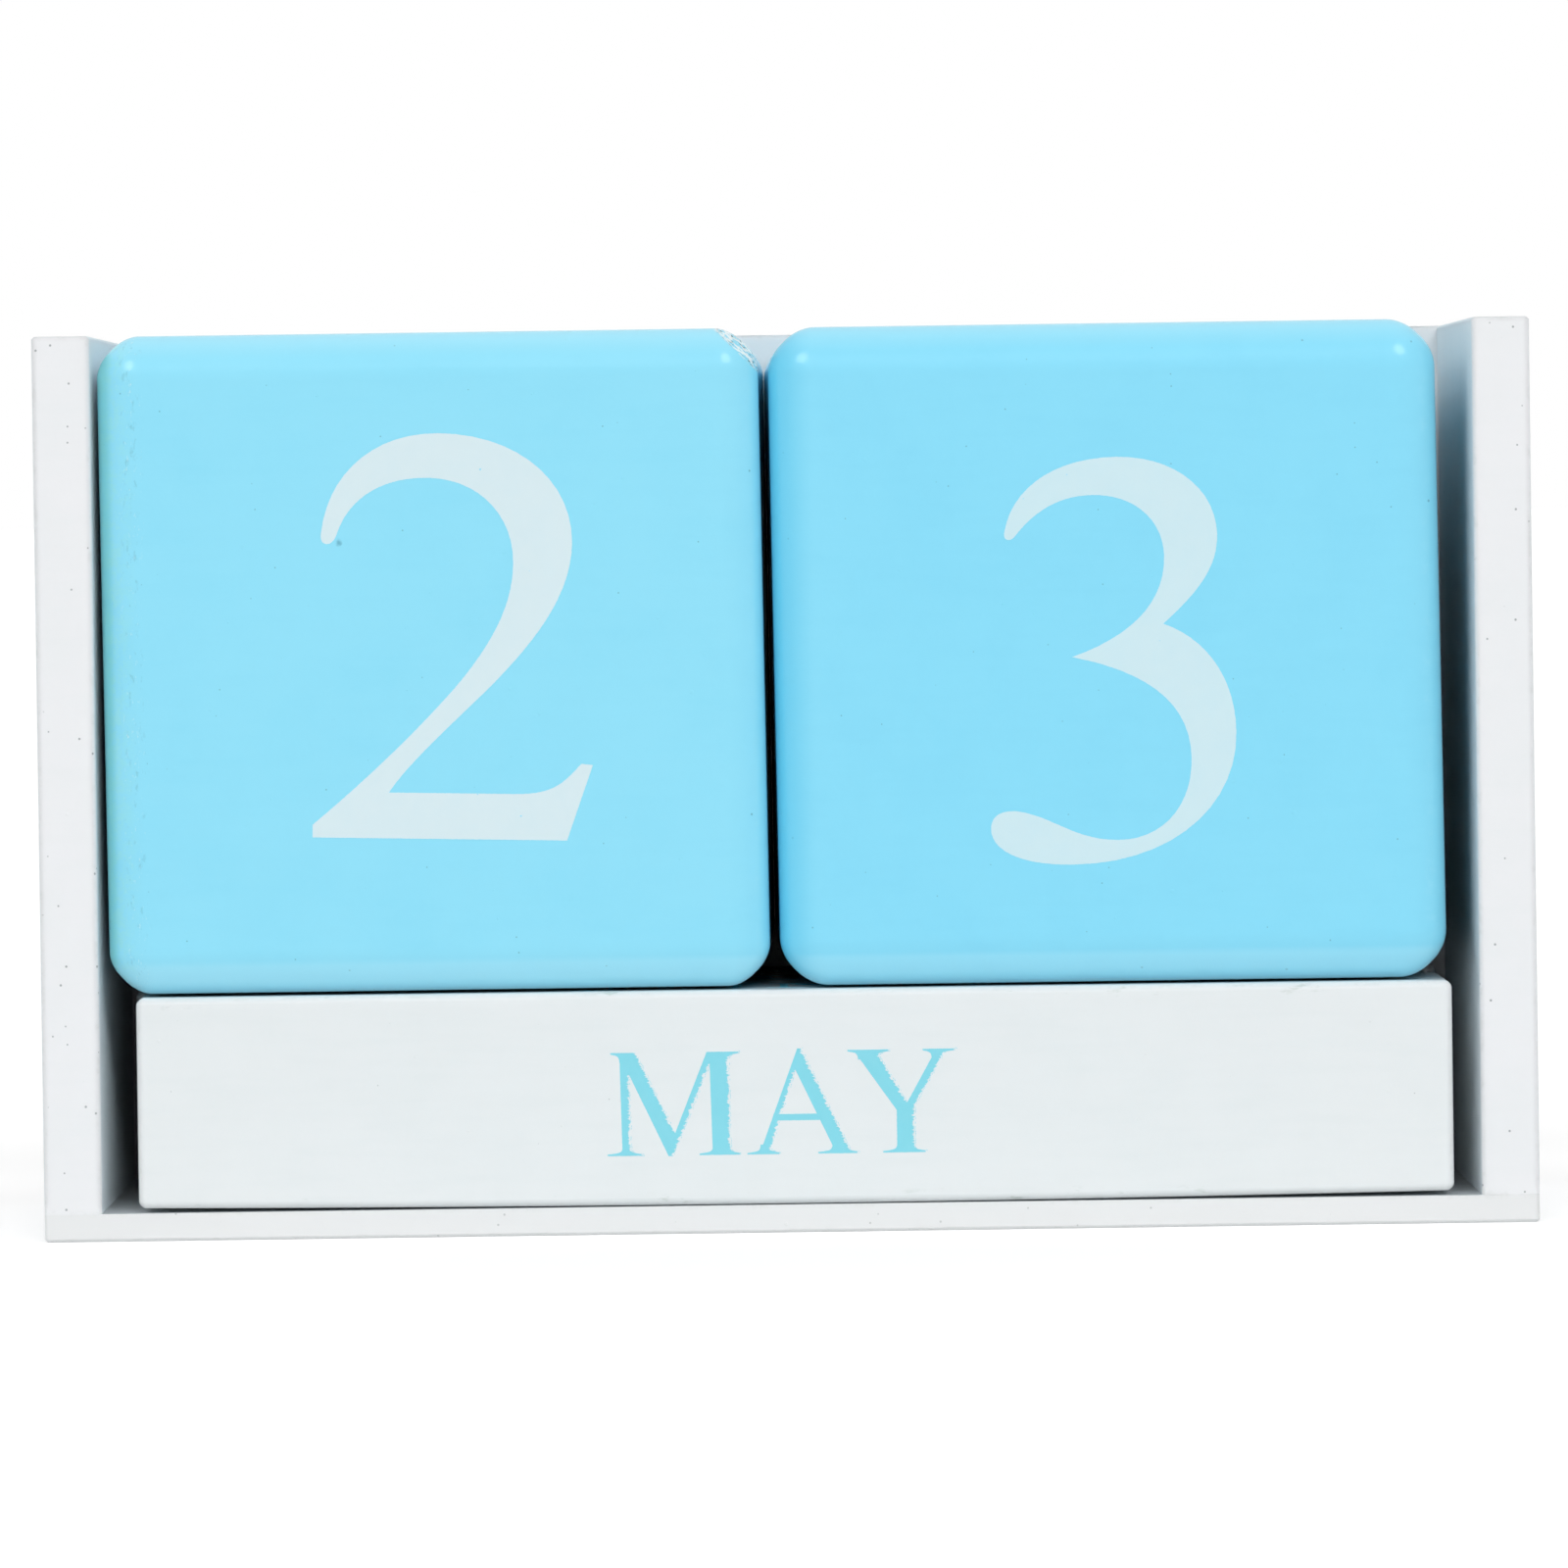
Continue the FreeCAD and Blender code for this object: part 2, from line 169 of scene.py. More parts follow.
class Wiring:
    """Adds and joins the nodes of one tree."""

    def __init__(self, tree: bpy.types.NodeTree) -> None:
        """Keep the tree that the nodes go into."""
        self.tree = tree

    @classmethod
    def of(cls, owner: Union[bpy.types.Material, bpy.types.World]) -> "Wiring":
        """Empty the tree of a material or a world, ready to be wired.

        Args:
            owner: The material or world.

        Returns:
            Its tree's wiring.
        """
        owner.use_nodes = True
        owner.node_tree.nodes.clear()
        return cls(owner.node_tree)

    def feed(self, socket: Socket, value: Value) -> None:
        """Link a socket to an output, or set its constant."""
        if isinstance(value, bpy.types.NodeSocket):
            self.tree.links.new(value, socket)
        else:
            socket.default_value = value

    def node(self, kind: str, inputs: Optional[dict] = None, **settings) -> bpy.types.Node:
        """Add a node.

        Args:
            kind: The node's type name.
            inputs: Values or sockets by input name or number.
            **settings: The node's own properties.

        Returns:
            The new node.
        """
        made = self.tree.nodes.new(kind)
        for name, value in settings.items():
            setattr(made, name, value)
        for key, value in (inputs or {}).items():
            self.feed(made.inputs[key], value)
        return made

    def place(self) -> Socket:
        """The point that is shaded, in metres."""
        return self.node("ShaderNodeTexCoord").outputs["Object"]

    def math(self, operation: str, a: Value, b: Value = 0.0, clamp: bool = False) -> Socket:
        """Join one or two numbers by a math operation and return the result's socket."""
        made = self.node("ShaderNodeMath", {0: a, 1: b}, operation=operation, use_clamp=clamp)
        return made.outputs[0]

    def times(self, a: Value, b: Value) -> Socket:
        """The product of two numbers."""
        return self.math("MULTIPLY", a, b)

    def plus(self, a: Value, b: Value) -> Socket:
        """The sum of two numbers."""
        return self.math("ADD", a, b)

    def minus(self, a: Value, b: Value) -> Socket:
        """The first number less the second."""
        return self.math("SUBTRACT", a, b)

    def vector(self, operation: str, a: Value, b: Value = (0.0, 0.0, 0.0)) -> Socket:
        """Join one or two vectors by a vector operation and return the vector socket."""
        return self.node("ShaderNodeVectorMath", {0: a, 1: b}, operation=operation).outputs["Vector"]

    def parts(self, vector: Socket) -> tuple[Socket, Socket, Socket]:
        """The X, Y and Z sockets of a vector."""
        outputs = self.node("ShaderNodeSeparateXYZ", {0: vector}).outputs
        return outputs["X"], outputs["Y"], outputs["Z"]

    def rise(self, value: Socket, low: float, high: float) -> Socket:
        """A smooth step: 0 where `value` is under `low`, 1 where it is over `high`.

        Args:
            value: The number that is measured.
            low: Where the step starts.
            high: Where it ends; under `low`, the step falls.

        Returns:
            A socket between 0 and 1.
        """
        first, last = (low, high) if low < high else (high, low)
        ends = (0.0, 1.0) if low < high else (1.0, 0.0)
        inputs = {"Value": value, "From Min": first, "From Max": last,
                  "To Min": ends[0], "To Max": ends[1]}
        return self.node("ShaderNodeMapRange", inputs, interpolation_type="SMOOTHSTEP").outputs["Result"]

    def fade(self, value: Socket, span: Span) -> Socket:
        """A smooth step of a length in metres over a span in millimetres."""
        return self.rise(value, span[0] * MM, span[1] * MM)

    def blend(self, share: Value, first: Value, second: Value) -> Socket:
        """A colour between `first` and `second`.

        Args:
            share: How much of the second colour there is, 0 to 1.
            first: The first colour.
            second: The second colour.

        Returns:
            The mixed colour's socket.
        """
        made = self.node("ShaderNodeMix", data_type="RGBA")
        for name, value in (("Factor_Float", share), ("A_Color", first), ("B_Color", second)):
            self.feed(next(s for s in made.inputs if s.identifier == name), value)
        return next(s for s in made.outputs if s.identifier == "Result_Color")

    def noise(self, place: Socket, kind: Clouds) -> Socket:
        """Cloudy noise between 0 and 1."""
        inputs = {"Vector": place, "Scale": 1 / (kind.size * MM), "Detail": kind.detail,
                  "Roughness": kind.roughness}
        return self.node("ShaderNodeTexNoise", inputs).outputs["Fac"]

    def patches(self, place: Socket, kind: Patches) -> Socket:
        """A socket that is 1 within a patch and 0 outside."""
        return self.rise(self.noise(place, kind), kind.start, kind.full)

    def dots(self, place: Socket, kind: Dots) -> Socket:
        """Strew round dots.

        Args:
            place: The coordinates they are read at.
            kind: What dots they are.

        Returns:
            A socket that is 1 in a dot's middle and 0 outside the dots.
        """
        inputs = {"Vector": place, "Scale": 1 / (kind.spacing * MM), "Randomness": 1.0}
        cell = self.node("ShaderNodeTexVoronoi", inputs)
        chance, size, _ = self.parts(cell.outputs["Color"])
        size = self.plus(self.times(size, 1 - kind.smallest), kind.smallest)
        reach = self.times(size, kind.radius / kind.spacing)
        near = self.minus(1.0, self.math("DIVIDE", cell.outputs["Distance"], reach))
        return self.times(self.rise(near, 0.0, 0.5), self.math("LESS_THAN", chance, kind.share))

    def relief(self, height: Socket, normal: Optional[Socket] = None) -> Socket:
        """Let a surface stand up by a true height.

        Args:
            height: How far it stands up, in metres.
            normal: The normal of the surface without it, where that is not the mesh's own.

        Returns:
            The normal with the relief.
        """
        made = self.node("ShaderNodeBump", {"Strength": 1.0, "Distance": 1.0, "Height": height})
        if normal:
            self.feed(made.inputs["Normal"], normal)
        return made.outputs[0]

    def surface(self, inputs: dict) -> None:
        """Close a material's tree with a surface that has these inputs."""
        skin = self.node("ShaderNodeBsdfPrincipled", inputs)
        self.node("ShaderNodeOutputMaterial", {"Surface": skin.outputs[0]})


# ---------------------------------------------------------------- finishes
@dataclass(frozen=True)
class Tone:
    """A mark's colour, how strongly it covers the coat, and how far it stands up, in millimetres."""

    colour: Colour
    strength: float
    lift: float = 0.0


Mark = tuple[Socket, Tone]  # where a mark lies, 0 to 1, and what it looks like


class Ground:
    """The block that a coat covers, as the coat's nodes see it, in metres."""

    def __init__(self, wires: Wiring, box: Box) -> None:
        """Keep the tree's wiring and the block's corners."""
        self.wires, self.box = wires, box
        self.place = wires.place()
        self.axes = wires.parts(self.place)

    def from_low(self, axis: int) -> Socket:
        """How far a point lies from the block's lowest side along an axis."""
        return self.wires.minus(self.axes[axis], self.box.low[axis])

    def from_high(self, axis: int) -> Socket:
        """How far a point lies from the block's highest side along an axis."""
        return self.wires.minus(self.box.high[axis], self.axes[axis])

    def in_front(self, mask: Socket, front: Span = FRONT) -> Socket:
        """The share of a mask that lies on the front."""
        return self.wires.times(mask, self.wires.fade(self.axes[1], front))

    def from_edge(self) -> Socket:
        """How far a point lies from the block's nearest edge.

        Returns:
            The middle one of the three distances to the faces.
        """
        wires = self.wires
        away = wires.vector("ABSOLUTE", wires.vector("SUBTRACT", self.place, tuple(self.box.middle)))
        x, y, z = wires.parts(wires.vector("SUBTRACT", tuple(self.box.half), away))
        smaller, larger = wires.math("MINIMUM", x, y), wires.math("MAXIMUM", x, y)
        return wires.math("MAXIMUM", smaller, wires.math("MINIMUM", larger, z))


@dataclass(frozen=True)
class Coat:
    """A coat of paint on wood: mottled, slightly pebbled, with dust under it and rubbed edges."""

    name: str
    colour: Colour
    thin_colour: Colour
    speck: Tone
    worn: Tone
    ior: float = 1.48
    roughness: float = 0.38
    mottle: Patches = Patches(7.0, 5.0, 0.6, 0.35, 0.75)
    mottle_share: float = 0.3
    mottle_dullness: float = 0.08
    streaks: Patches = Patches(1.1, 3.0, 0.5, 0.4, 0.8)
    streak_draw: Triple = (0.12, 1.0, 1.0)
    streak_share: float = 0.15
    streak_depth: float = 0.004
    pebbles: Clouds = Clouds(0.9, 3.0, 0.45)
    pebble_depth: float = 0.012
    specks: Dots = Dots(1.6, 0.16, 0.45)
    nibs: Dots = Dots(2.6, 0.22, 0.2)
    nib_strength: float = 0.3
    nib_height: float = 0.02
    nib_stray: Triple = (0.31, 0.17, 0.23)  # so that no nib is also a speck
    edge: Span = (0.5, 0.0)
    rubs: Patches = Patches(1.6, 4.0, 0.7, 0.5, 0.66)
    gloss: float = 0.0
    gloss_roughness: float = 0.12
    fuzz_tint: Colour = (228, 246, 255)
    fuzz_roughness: float = 0.4

    def grain(self, ground: Ground) -> Value:
        """How much raised grain throws light back at a slant; a smooth coat has none."""
        return 0.0

    def eased(self, ground: Ground) -> Optional[Socket]:
        """The normal over edges that look rounded; a plain coat keeps the mesh's own."""
        return None

    def local_marks(self, ground: Ground) -> list[Mark]:
        """Marks that only one kind of piece has; a plain coat has none."""
        return []

    def common_marks(self, ground: Ground) -> list[Mark]:
        """The marks of every coat.

        Args:
            ground: The block under the coat.

        Returns:
            The marks of specks, of nibs of dust and of rubbed edges.
        """
        wires, place = ground.wires, ground.place
        nibs = wires.dots(wires.vector("ADD", place, self.nib_stray), self.nibs)
        rubbed = wires.times(wires.fade(ground.from_edge(), self.edge), wires.patches(place, self.rubs))
        return [
            (wires.dots(place, self.specks), self.speck),
            (nibs, Tone(self.colour, self.nib_strength, self.nib_height)),
            (rubbed, self.worn),
        ]

    def build(self, label: str, box: Box) -> bpy.types.Material:
        """Make the coat's material for one block.

        Args:
            label: The block's name, which the material's name ends with.
            box: The block's corners.

        Returns:
            The material.
        """
        material = bpy.data.materials.new(f"{self.name}_{label}")
        wires = Wiring.of(material)
        ground = Ground(wires, box)
        mottle = wires.patches(ground.place, self.mottle)
        drawn = wires.vector("MULTIPLY", ground.place, self.streak_draw)
        streaks = wires.patches(drawn, self.streaks)
        thin = wires.math("ADD", wires.times(mottle, self.mottle_share),
                          wires.times(streaks, self.streak_share), clamp=True)
        colour = wires.blend(thin, linear(self.colour), linear(self.thin_colour))
        height = wires.plus(wires.times(wires.noise(ground.place, self.pebbles), self.pebble_depth * MM),
                            wires.times(streaks, self.streak_depth * MM))
        for mask, tone in self.common_marks(ground) + self.local_marks(ground):
            colour = wires.blend(wires.times(mask, tone.strength), colour, linear(tone.colour))
            if tone.lift:
                height = wires.plus(height, wires.times(mask, tone.lift * MM))
        normal = wires.relief(height, self.eased(ground))
        wires.surface({
            "Base Color": colour, "Normal": normal, "IOR": self.ior,
            "Roughness": wires.plus(wires.times(mottle, self.mottle_dullness), self.roughness),
            "Sheen Weight": self.grain(ground), "Sheen Roughness": self.fuzz_roughness,
            "Sheen Tint": linear(self.fuzz_tint),
            "Coat Weight": self.gloss, "Coat Roughness": self.gloss_roughness, "Coat Normal": normal,
        })
        return material


@dataclass(frozen=True)
class TrayCoat(Coat):
    """White paint on the tray: sanded in places, with a hairline where two boards meet."""

    fuzz: float = 0.65  # how much light the paint's raised grain throws back at a slant
    sanded_front: Span = (-14.0, -26.0)
    sanded_top: Span = (73.5, 76.5)
    sanded_foot: Span = (26.0, 20.0)
    softened: float = 0.8  # how far the boards' edges look rounded over
    softened_above: Span = (2.6, 3.4)
    seam_level: float = 2.4
    seam_line: Span = (0.05, 0.0)
    seam_across: Span = (0.0, 61.0)
    seam_breaks: Patches = Patches(2.2, 3.0, 0.5, 0.42, 0.6)
    seam: Tone = Tone((205, 208, 208), 0.7, -0.02)
    # foot: a greyer band along the lowest 2.3 to 2.5 mm of every board
    foot_band: Span = (2.5, 2.3)
    foot: Tone = Tone((224, 226, 225), 0.5)

    def grain(self, ground: Ground) -> Value:
        """How much raised grain the paint has: only where the boards were sanded.

        Args:
            ground: The board under the coat.

        Returns:
            The share of sheen.
        """
        wires, (_, back, up) = ground.wires, ground.axes
        sanded = wires.fade(back, self.sanded_front)
        for span in (self.sanded_top, self.sanded_foot):
            sanded = wires.math("MAXIMUM", sanded, wires.fade(up, span))
        return wires.times(sanded, self.fuzz)

    def eased(self, ground: Ground) -> Socket:
        """The normal over the boards' edges, rounded a little above the floor board.

        Args:
            ground: The board under the coat.

        Returns:
            The normal.
        """
        wires = ground.wires
        rounded = wires.node("ShaderNodeBevel", {"Radius": self.softened * MM}).outputs[0]
        flat = wires.node("ShaderNodeNewGeometry").outputs["Normal"]
        clear = wires.fade(ground.axes[2], self.softened_above)
        turned = wires.vector("MULTIPLY", wires.vector("SUBTRACT", rounded, flat), clear)
        return wires.vector("ADD", flat, turned)

    def local_marks(self, ground: Ground) -> list[Mark]:
        """The crack over the glue line at the right, and a greyer band along the bottom of the boards.

        Args:
            ground: The board under the coat.

        Returns:
            The marks of the seam and of the greyer bottom band.
        """
        wires, (x, _, z) = ground.wires, ground.axes
        off = wires.math("ABSOLUTE", wires.minus(z, self.seam_level * MM))
        line = wires.times(wires.fade(off, self.seam_line), wires.patches(ground.place, self.seam_breaks))
        crack = wires.times(line, wires.fade(x, self.seam_across))
        return [(crack, self.seam), (wires.fade(z, self.foot_band), self.foot)]


@dataclass(frozen=True)
class BarCoat(Coat):
    """White paint on a bar, scuffed where it slides under the cubes and over the floor board."""

    scuff_band: Span = (1.5, 0.3)
    scuff_draw: Triple = (0.35, 1.0, 1.0)
    scuffs: Patches = Patches(1.5, 4.0, 0.7, 0.6, 0.7)
    scuff: Tone = Tone((186, 196, 190), 0.55, -0.01)

    def local_marks(self, ground: Ground) -> list[Mark]:
        """Scuffs along the upper and lower edges.

        Args:
            ground: The bar under the coat.

        Returns:
            The scuffs' mark.
        """
        wires = ground.wires
        band = wires.fade(wires.math("MINIMUM", ground.from_low(2), ground.from_high(2)), self.scuff_band)
        drawn = wires.vector("MULTIPLY", ground.place, self.scuff_draw)
        return [(wires.times(band, wires.patches(drawn, self.scuffs)), self.scuff)]


@dataclass(frozen=True)
class CubeCoat(Coat):
    """Sky-blue enamel, with a painted highlight along the upper edge of the front, painted light from
    below along its lower edge, and painted shade down its left side where a side tone is given.
    """

    edge: Span = (1.6, 0.0)
    roughness: float = 0.36
    gloss: float = 0.6
    gloss_roughness: float = 0.1
    # the painted highlight along the upper edge and the painted light from below along the lower edge are
    # both in this colour
    pale_colour: Colour = (166, 232, 252)
    top_band: Span = (2.4, 0.0)
    top_strength: float = 0.7
    # foot_band: where the painted light from below lies, measured up from the bottom
    foot_band: Span = (3.2, 2.5)
    foot_strength: float = 0.4
    # painted shade down the left side of the front, in the side tone
    side_band: Span = (3.8, 0.0)
    side: Optional[Tone] = None
    smudge_place: Point = (0.0, 0.0)  # to the right and up
    smudge_radius: float = 0.3
    smudge_edge: Clouds = Clouds(0.5)
    smudge_span: Span = (1.3, 0.6)  # in shares of the radius
    smudge: Tone = Tone((72, 150, 176), 0.75)

    def smudged(self, ground: Ground) -> Mark:
        """A small dark smudge on the front.

        Args:
            ground: The cube under the coat.

        Returns:
            The smudge's mark.
        """
        wires, (across, up), radius = ground.wires, self.smudge_place, self.smudge_radius
        ends = {0: ground.place, 1: (across * MM, PACKED_LOW.y, up * MM)}
        gap = wires.node("ShaderNodeVectorMath", ends, operation="DISTANCE").outputs["Value"]
        smear = wires.times(wires.noise(ground.place, self.smudge_edge), radius * MM)
        start, full = self.smudge_span
        return wires.fade(wires.plus(gap, smear), (start * radius, full * radius)), self.smudge

    def local_marks(self, ground: Ground) -> list[Mark]:
        """Painted highlight along the front's upper edge, painted light from below along its lower edge,
        painted shade down its left side where given, and its smudges.

        Args:
            ground: The cube under the coat.

        Returns:
            The marks, from the lowest to the topmost.
        """
        wires = ground.wires
        # painted highlight along the upper edge of the front
        upper = ground.in_front(wires.fade(ground.from_high(2), self.top_band))
        # painted light from below, along the lower edge of the front
        lower = ground.in_front(wires.fade(ground.from_low(2), self.foot_band))
        marks = [(upper, Tone(self.pale_colour, self.top_strength)),
                 (lower, Tone(self.pale_colour, self.foot_strength))]
        if self.side:
            # painted shade down the left side
            marks.append((ground.in_front(wires.fade(ground.from_low(0), self.side_band)), self.side))
        return marks + [self.smudged(ground)]


@dataclass(frozen=True)
class WornCubeCoat(CubeCoat):
    """Enamel on the day cube that was handled most: rubbed down one side, with painted shade at that
    side's very edge, and chipped.
    """

    rub_band: Span = (3.6, 0.3)
    rub_patches: Patches = Patches(1.3, 5.0, 0.8, 0.4, 0.62)
    rub: Tone = Tone((152, 226, 231), 0.7)
    # bend: the rub's teal tint at the outermost strip, darkened there with painted shade where the edge
    # turns towards the wall
    bend_band: Span = (1.3, 0.5)
    bend: Tone = Tone((118, 206, 210), 0.6)
    scratch_line: float = 2.7  # from the rubbed side
    scratch_band: Span = (1.5, 0.2)
    scratch_draw: Triple = (1.0, 1.0, 0.4)
    scratches: Patches = Patches(0.3, 4.0, 0.8, 0.6, 0.68)
    scratch: Tone = Tone((240, 250, 252), 0.35, -0.01)
    shade_stray: Triple = (0.3, 0.1, 0.2)
    shades: Patches = Patches(0.5, 3.0, 0.7, 0.58, 0.68)
    shade: Tone = Tone((70, 140, 162), 0.22, -0.01)
    chip_band: Span = (4.2, 3.8)
    chip_front: Span = (-25.0, -27.0)
    sliver_draw: float = 0.22  # the flakes are drawn out across the corner by one over this
    sliver_depth: float = 0.6
    flakes: Patches = Patches(0.2, 3.0, 0.6, 0.46, 0.5)
    flake: Tone = Tone((240, 250, 252), 0.9, -0.04)
    pit_stray: Triple = (0.4, 0.2, 0.1)
    pits: Patches = Patches(0.18, 2.0, 0.5, 0.61, 0.64)
    pit: Tone = Tone((34, 92, 92), 0.85, -0.06)

    def local_marks(self, ground: Ground) -> list[Mark]:
        """The rubbed band beside the left wall, darker at its very edge with painted shade, and the chips
        on the corner by the other cube.

        Args:
            ground: The cube under the coat.

        Returns:
            The marks, from the lowest to the topmost.
        """
        wires, (x, y, z), from_side = ground.wires, ground.axes, ground.from_low(0)
        rubbed = ground.in_front(wires.fade(from_side, self.rub_band))
        # bend: the outermost strip of the rubbed band; its darkening is painted shade
        bend = ground.in_front(wires.fade(from_side, self.bend_band))
        off_line = wires.math("ABSOLUTE", wires.minus(from_side, self.scratch_line * MM))
        beside = ground.in_front(wires.fade(off_line, self.scratch_band))
        tall = wires.vector("MULTIPLY", ground.place, self.scratch_draw)
        corner = wires.fade(wires.plus(ground.from_high(0), ground.from_high(2)), self.chip_band)
        chips = ground.in_front(corner, self.chip_front)
        slivers = wires.node("ShaderNodeCombineXYZ", {
            "X": wires.times(wires.minus(x, z), self.sliver_draw),
            "Y": wires.times(y, self.sliver_depth), "Z": wires.plus(x, z),
        }).outputs[0]
        worn = (
            (rubbed, ground.place, self.rub_patches, self.rub),
            (beside, tall, self.scratches, self.scratch),
            (beside, wires.vector("ADD", tall, self.shade_stray), self.shades, self.shade),
            (chips, slivers, self.flakes, self.flake),
            (chips, wires.vector("ADD", slivers, self.pit_stray), self.pits, self.pit),
        )
        marks = [(wires.times(where, wires.patches(place, kind)), tone)
                 for where, place, kind, tone in worn]
        return super().local_marks(ground) + marks[:1] + [(bend, self.bend)] + marks[1:]


@dataclass(frozen=True)
class Ink:
    """Thin printing ink that the paint under it shows through a little."""

    name: str
    colour: Colour
    thin_colour: Colour
    pinhole_colour: Colour
    roughness: float = 0.5
    cloud: Patches = Patches(2.5, 5.0, 0.6, 0.35, 0.7)
    cloud_share: float = 0.35
    cloud_dullness: float = 0.1
    pinholes: Dots = Dots(1.3, 0.08, 0.12)
    pinhole_strength: float = 0.7
    grain: Clouds = Clouds(0.35, 3.0)
    grain_depth: float = 0.004
    ior: float = 1.45

    def build(self) -> bpy.types.Material:
        """Make the ink's material and return it."""
        material = bpy.data.materials.new(self.name)
        wires = Wiring.of(material)
        place = wires.place()
        cloud = wires.patches(place, self.cloud)
        colour = wires.blend(wires.times(cloud, self.cloud_share), linear(self.colour),
                             linear(self.thin_colour))
        holes = wires.times(wires.dots(place, self.pinholes), self.pinhole_strength)
        grain = wires.noise(place, self.grain)
        wires.surface({
            "Base Color": wires.blend(holes, colour, linear(self.pinhole_colour)),
            "Roughness": wires.plus(wires.times(cloud, self.cloud_dullness), self.roughness),
            "Normal": wires.relief(wires.times(grain, self.grain_depth * MM)), "IOR": self.ior,
        })
        return material


@dataclass(frozen=True)
class PinSteel:
    """Bright drawn steel, with paint over the heads."""

    name: str = "painted_pin_steel"
    steel: Colour = (190, 190, 188)
    paint: Colour = (233, 235, 235)
    paint_share: float = 0.8
    paint_dullness: float = 0.25
    cover: Patches = Patches(0.6, 3.0, 0.5, 0.25, 0.45)
    roughness: float = 0.3
    drag_draw: Triple = (1.0, 1.0, 6.0)
    drag: Clouds = Clouds(0.3, 4.0)
    drag_depth: float = 0.01

    def build(self) -> bpy.types.Material:
        """Make the steel's material and return it."""
        material = bpy.data.materials.new(self.name)
        wires = Wiring.of(material)
        place = wires.place()
        drag = wires.noise(wires.vector("MULTIPLY", place, self.drag_draw), self.drag)
        covered = wires.times(wires.patches(place, self.cover), self.paint_share)
        wires.surface({
            "Base Color": wires.blend(covered, linear(self.steel), linear(self.paint)),
            "Roughness": wires.plus(wires.times(covered, self.paint_dullness), self.roughness),
            "Metallic": wires.minus(1.0, covered),
            "Normal": wires.relief(wires.times(drag, self.drag_depth * MM)),
        })
        return material


TRAY_COAT = TrayCoat(
    "tray_paint", colour=(236, 237, 239), thin_colour=(229, 233, 234),
    speck=Tone((140, 146, 148), 0.8, -0.01), worn=Tone((205, 208, 206), 0.35, -0.01),
    specks=Dots(1.35, 0.16, 0.65),
)
BAR_COAT = BarCoat(
    "bar_paint", colour=(230, 234, 235), thin_colour=(223, 229, 230),
    speck=Tone((140, 150, 150), 0.55, -0.01), worn=Tone((190, 196, 192), 0.35, -0.01),
    specks=Dots(2.0, 0.16, 0.14), streak_share=0.25,
)
UNITS_COAT = CubeCoat(
    "cube_enamel", colour=(132, 219, 246), thin_colour=(124, 212, 241),
    speck=Tone((70, 140, 168), 0.55, -0.01), worn=Tone((196, 240, 250), 0.12, -0.01),
    # side: painted shade down the left side of the front
    side=Tone((92, 202, 236), 0.85), smudge_place=(0.15, 29.6), smudge=Tone((20, 90, 130), 0.75),
)
TENS_COAT = WornCubeCoat(
    "cube_enamel", colour=(140, 222, 246), thin_colour=(130, 216, 242),
    speck=Tone((70, 140, 162), 0.55, -0.01), worn=Tone((196, 240, 248), 0.12, -0.01),
    # pale_colour: colour of the painted highlight and of the painted light from below
    pale_colour=(170, 233, 252), smudge_place=(-38.6, 60.5), smudge_radius=0.5,
)
TENS_INK = Ink("tens_numeral_ink", (214, 232, 237), (208, 230, 237), (150, 222, 244))
UNITS_INK = Ink("units_numeral_ink", (205, 231, 238), (198, 229, 239), (146, 220, 244))
MONTH_INK = Ink("month_ink", (132, 214, 229), (142, 217, 231), (214, 232, 236),
                cloud=Patches(1.2, 5.0, 0.6, 0.35, 0.7))


# ---------------------------------------------------------------- outlines of numerals and letters
@dataclass(frozen=True)
class Shape:
    """One closed outline, in millimetres. It lays ink, or takes away what was laid before it."""

    outline: tuple[Point, ...]
    inked: bool = True

    def moved(self, across: float, up: float = 0.0) -> "Shape":
        """The same outline, further to the right and up."""
        return Shape(tuple((x + across, y + up) for x, y in self.outline), self.inked)


def trace(path: str, inked: bool = True) -> Shape:
    """Turn a written path into an outline.

    Args:
        path: Commands and coordinates: M and L take a point, C takes two handles and a point.
        inked: Whether the outline lays ink or takes it away.

    Returns:
        The closed outline.
    """
    steps = 14
    words = iter(path.split())
    points: list[Vector] = []
    for command in words:
        count = 3 if command == "C" else 1
        corners = [Vector((float(next(words)), float(next(words)))) for _ in range(count)]
        points += interpolate_bezier(points[-1], *corners, steps)[1:] if count == 3 else corners
    return Shape(tuple((p.x, p.y) for p in points), inked)


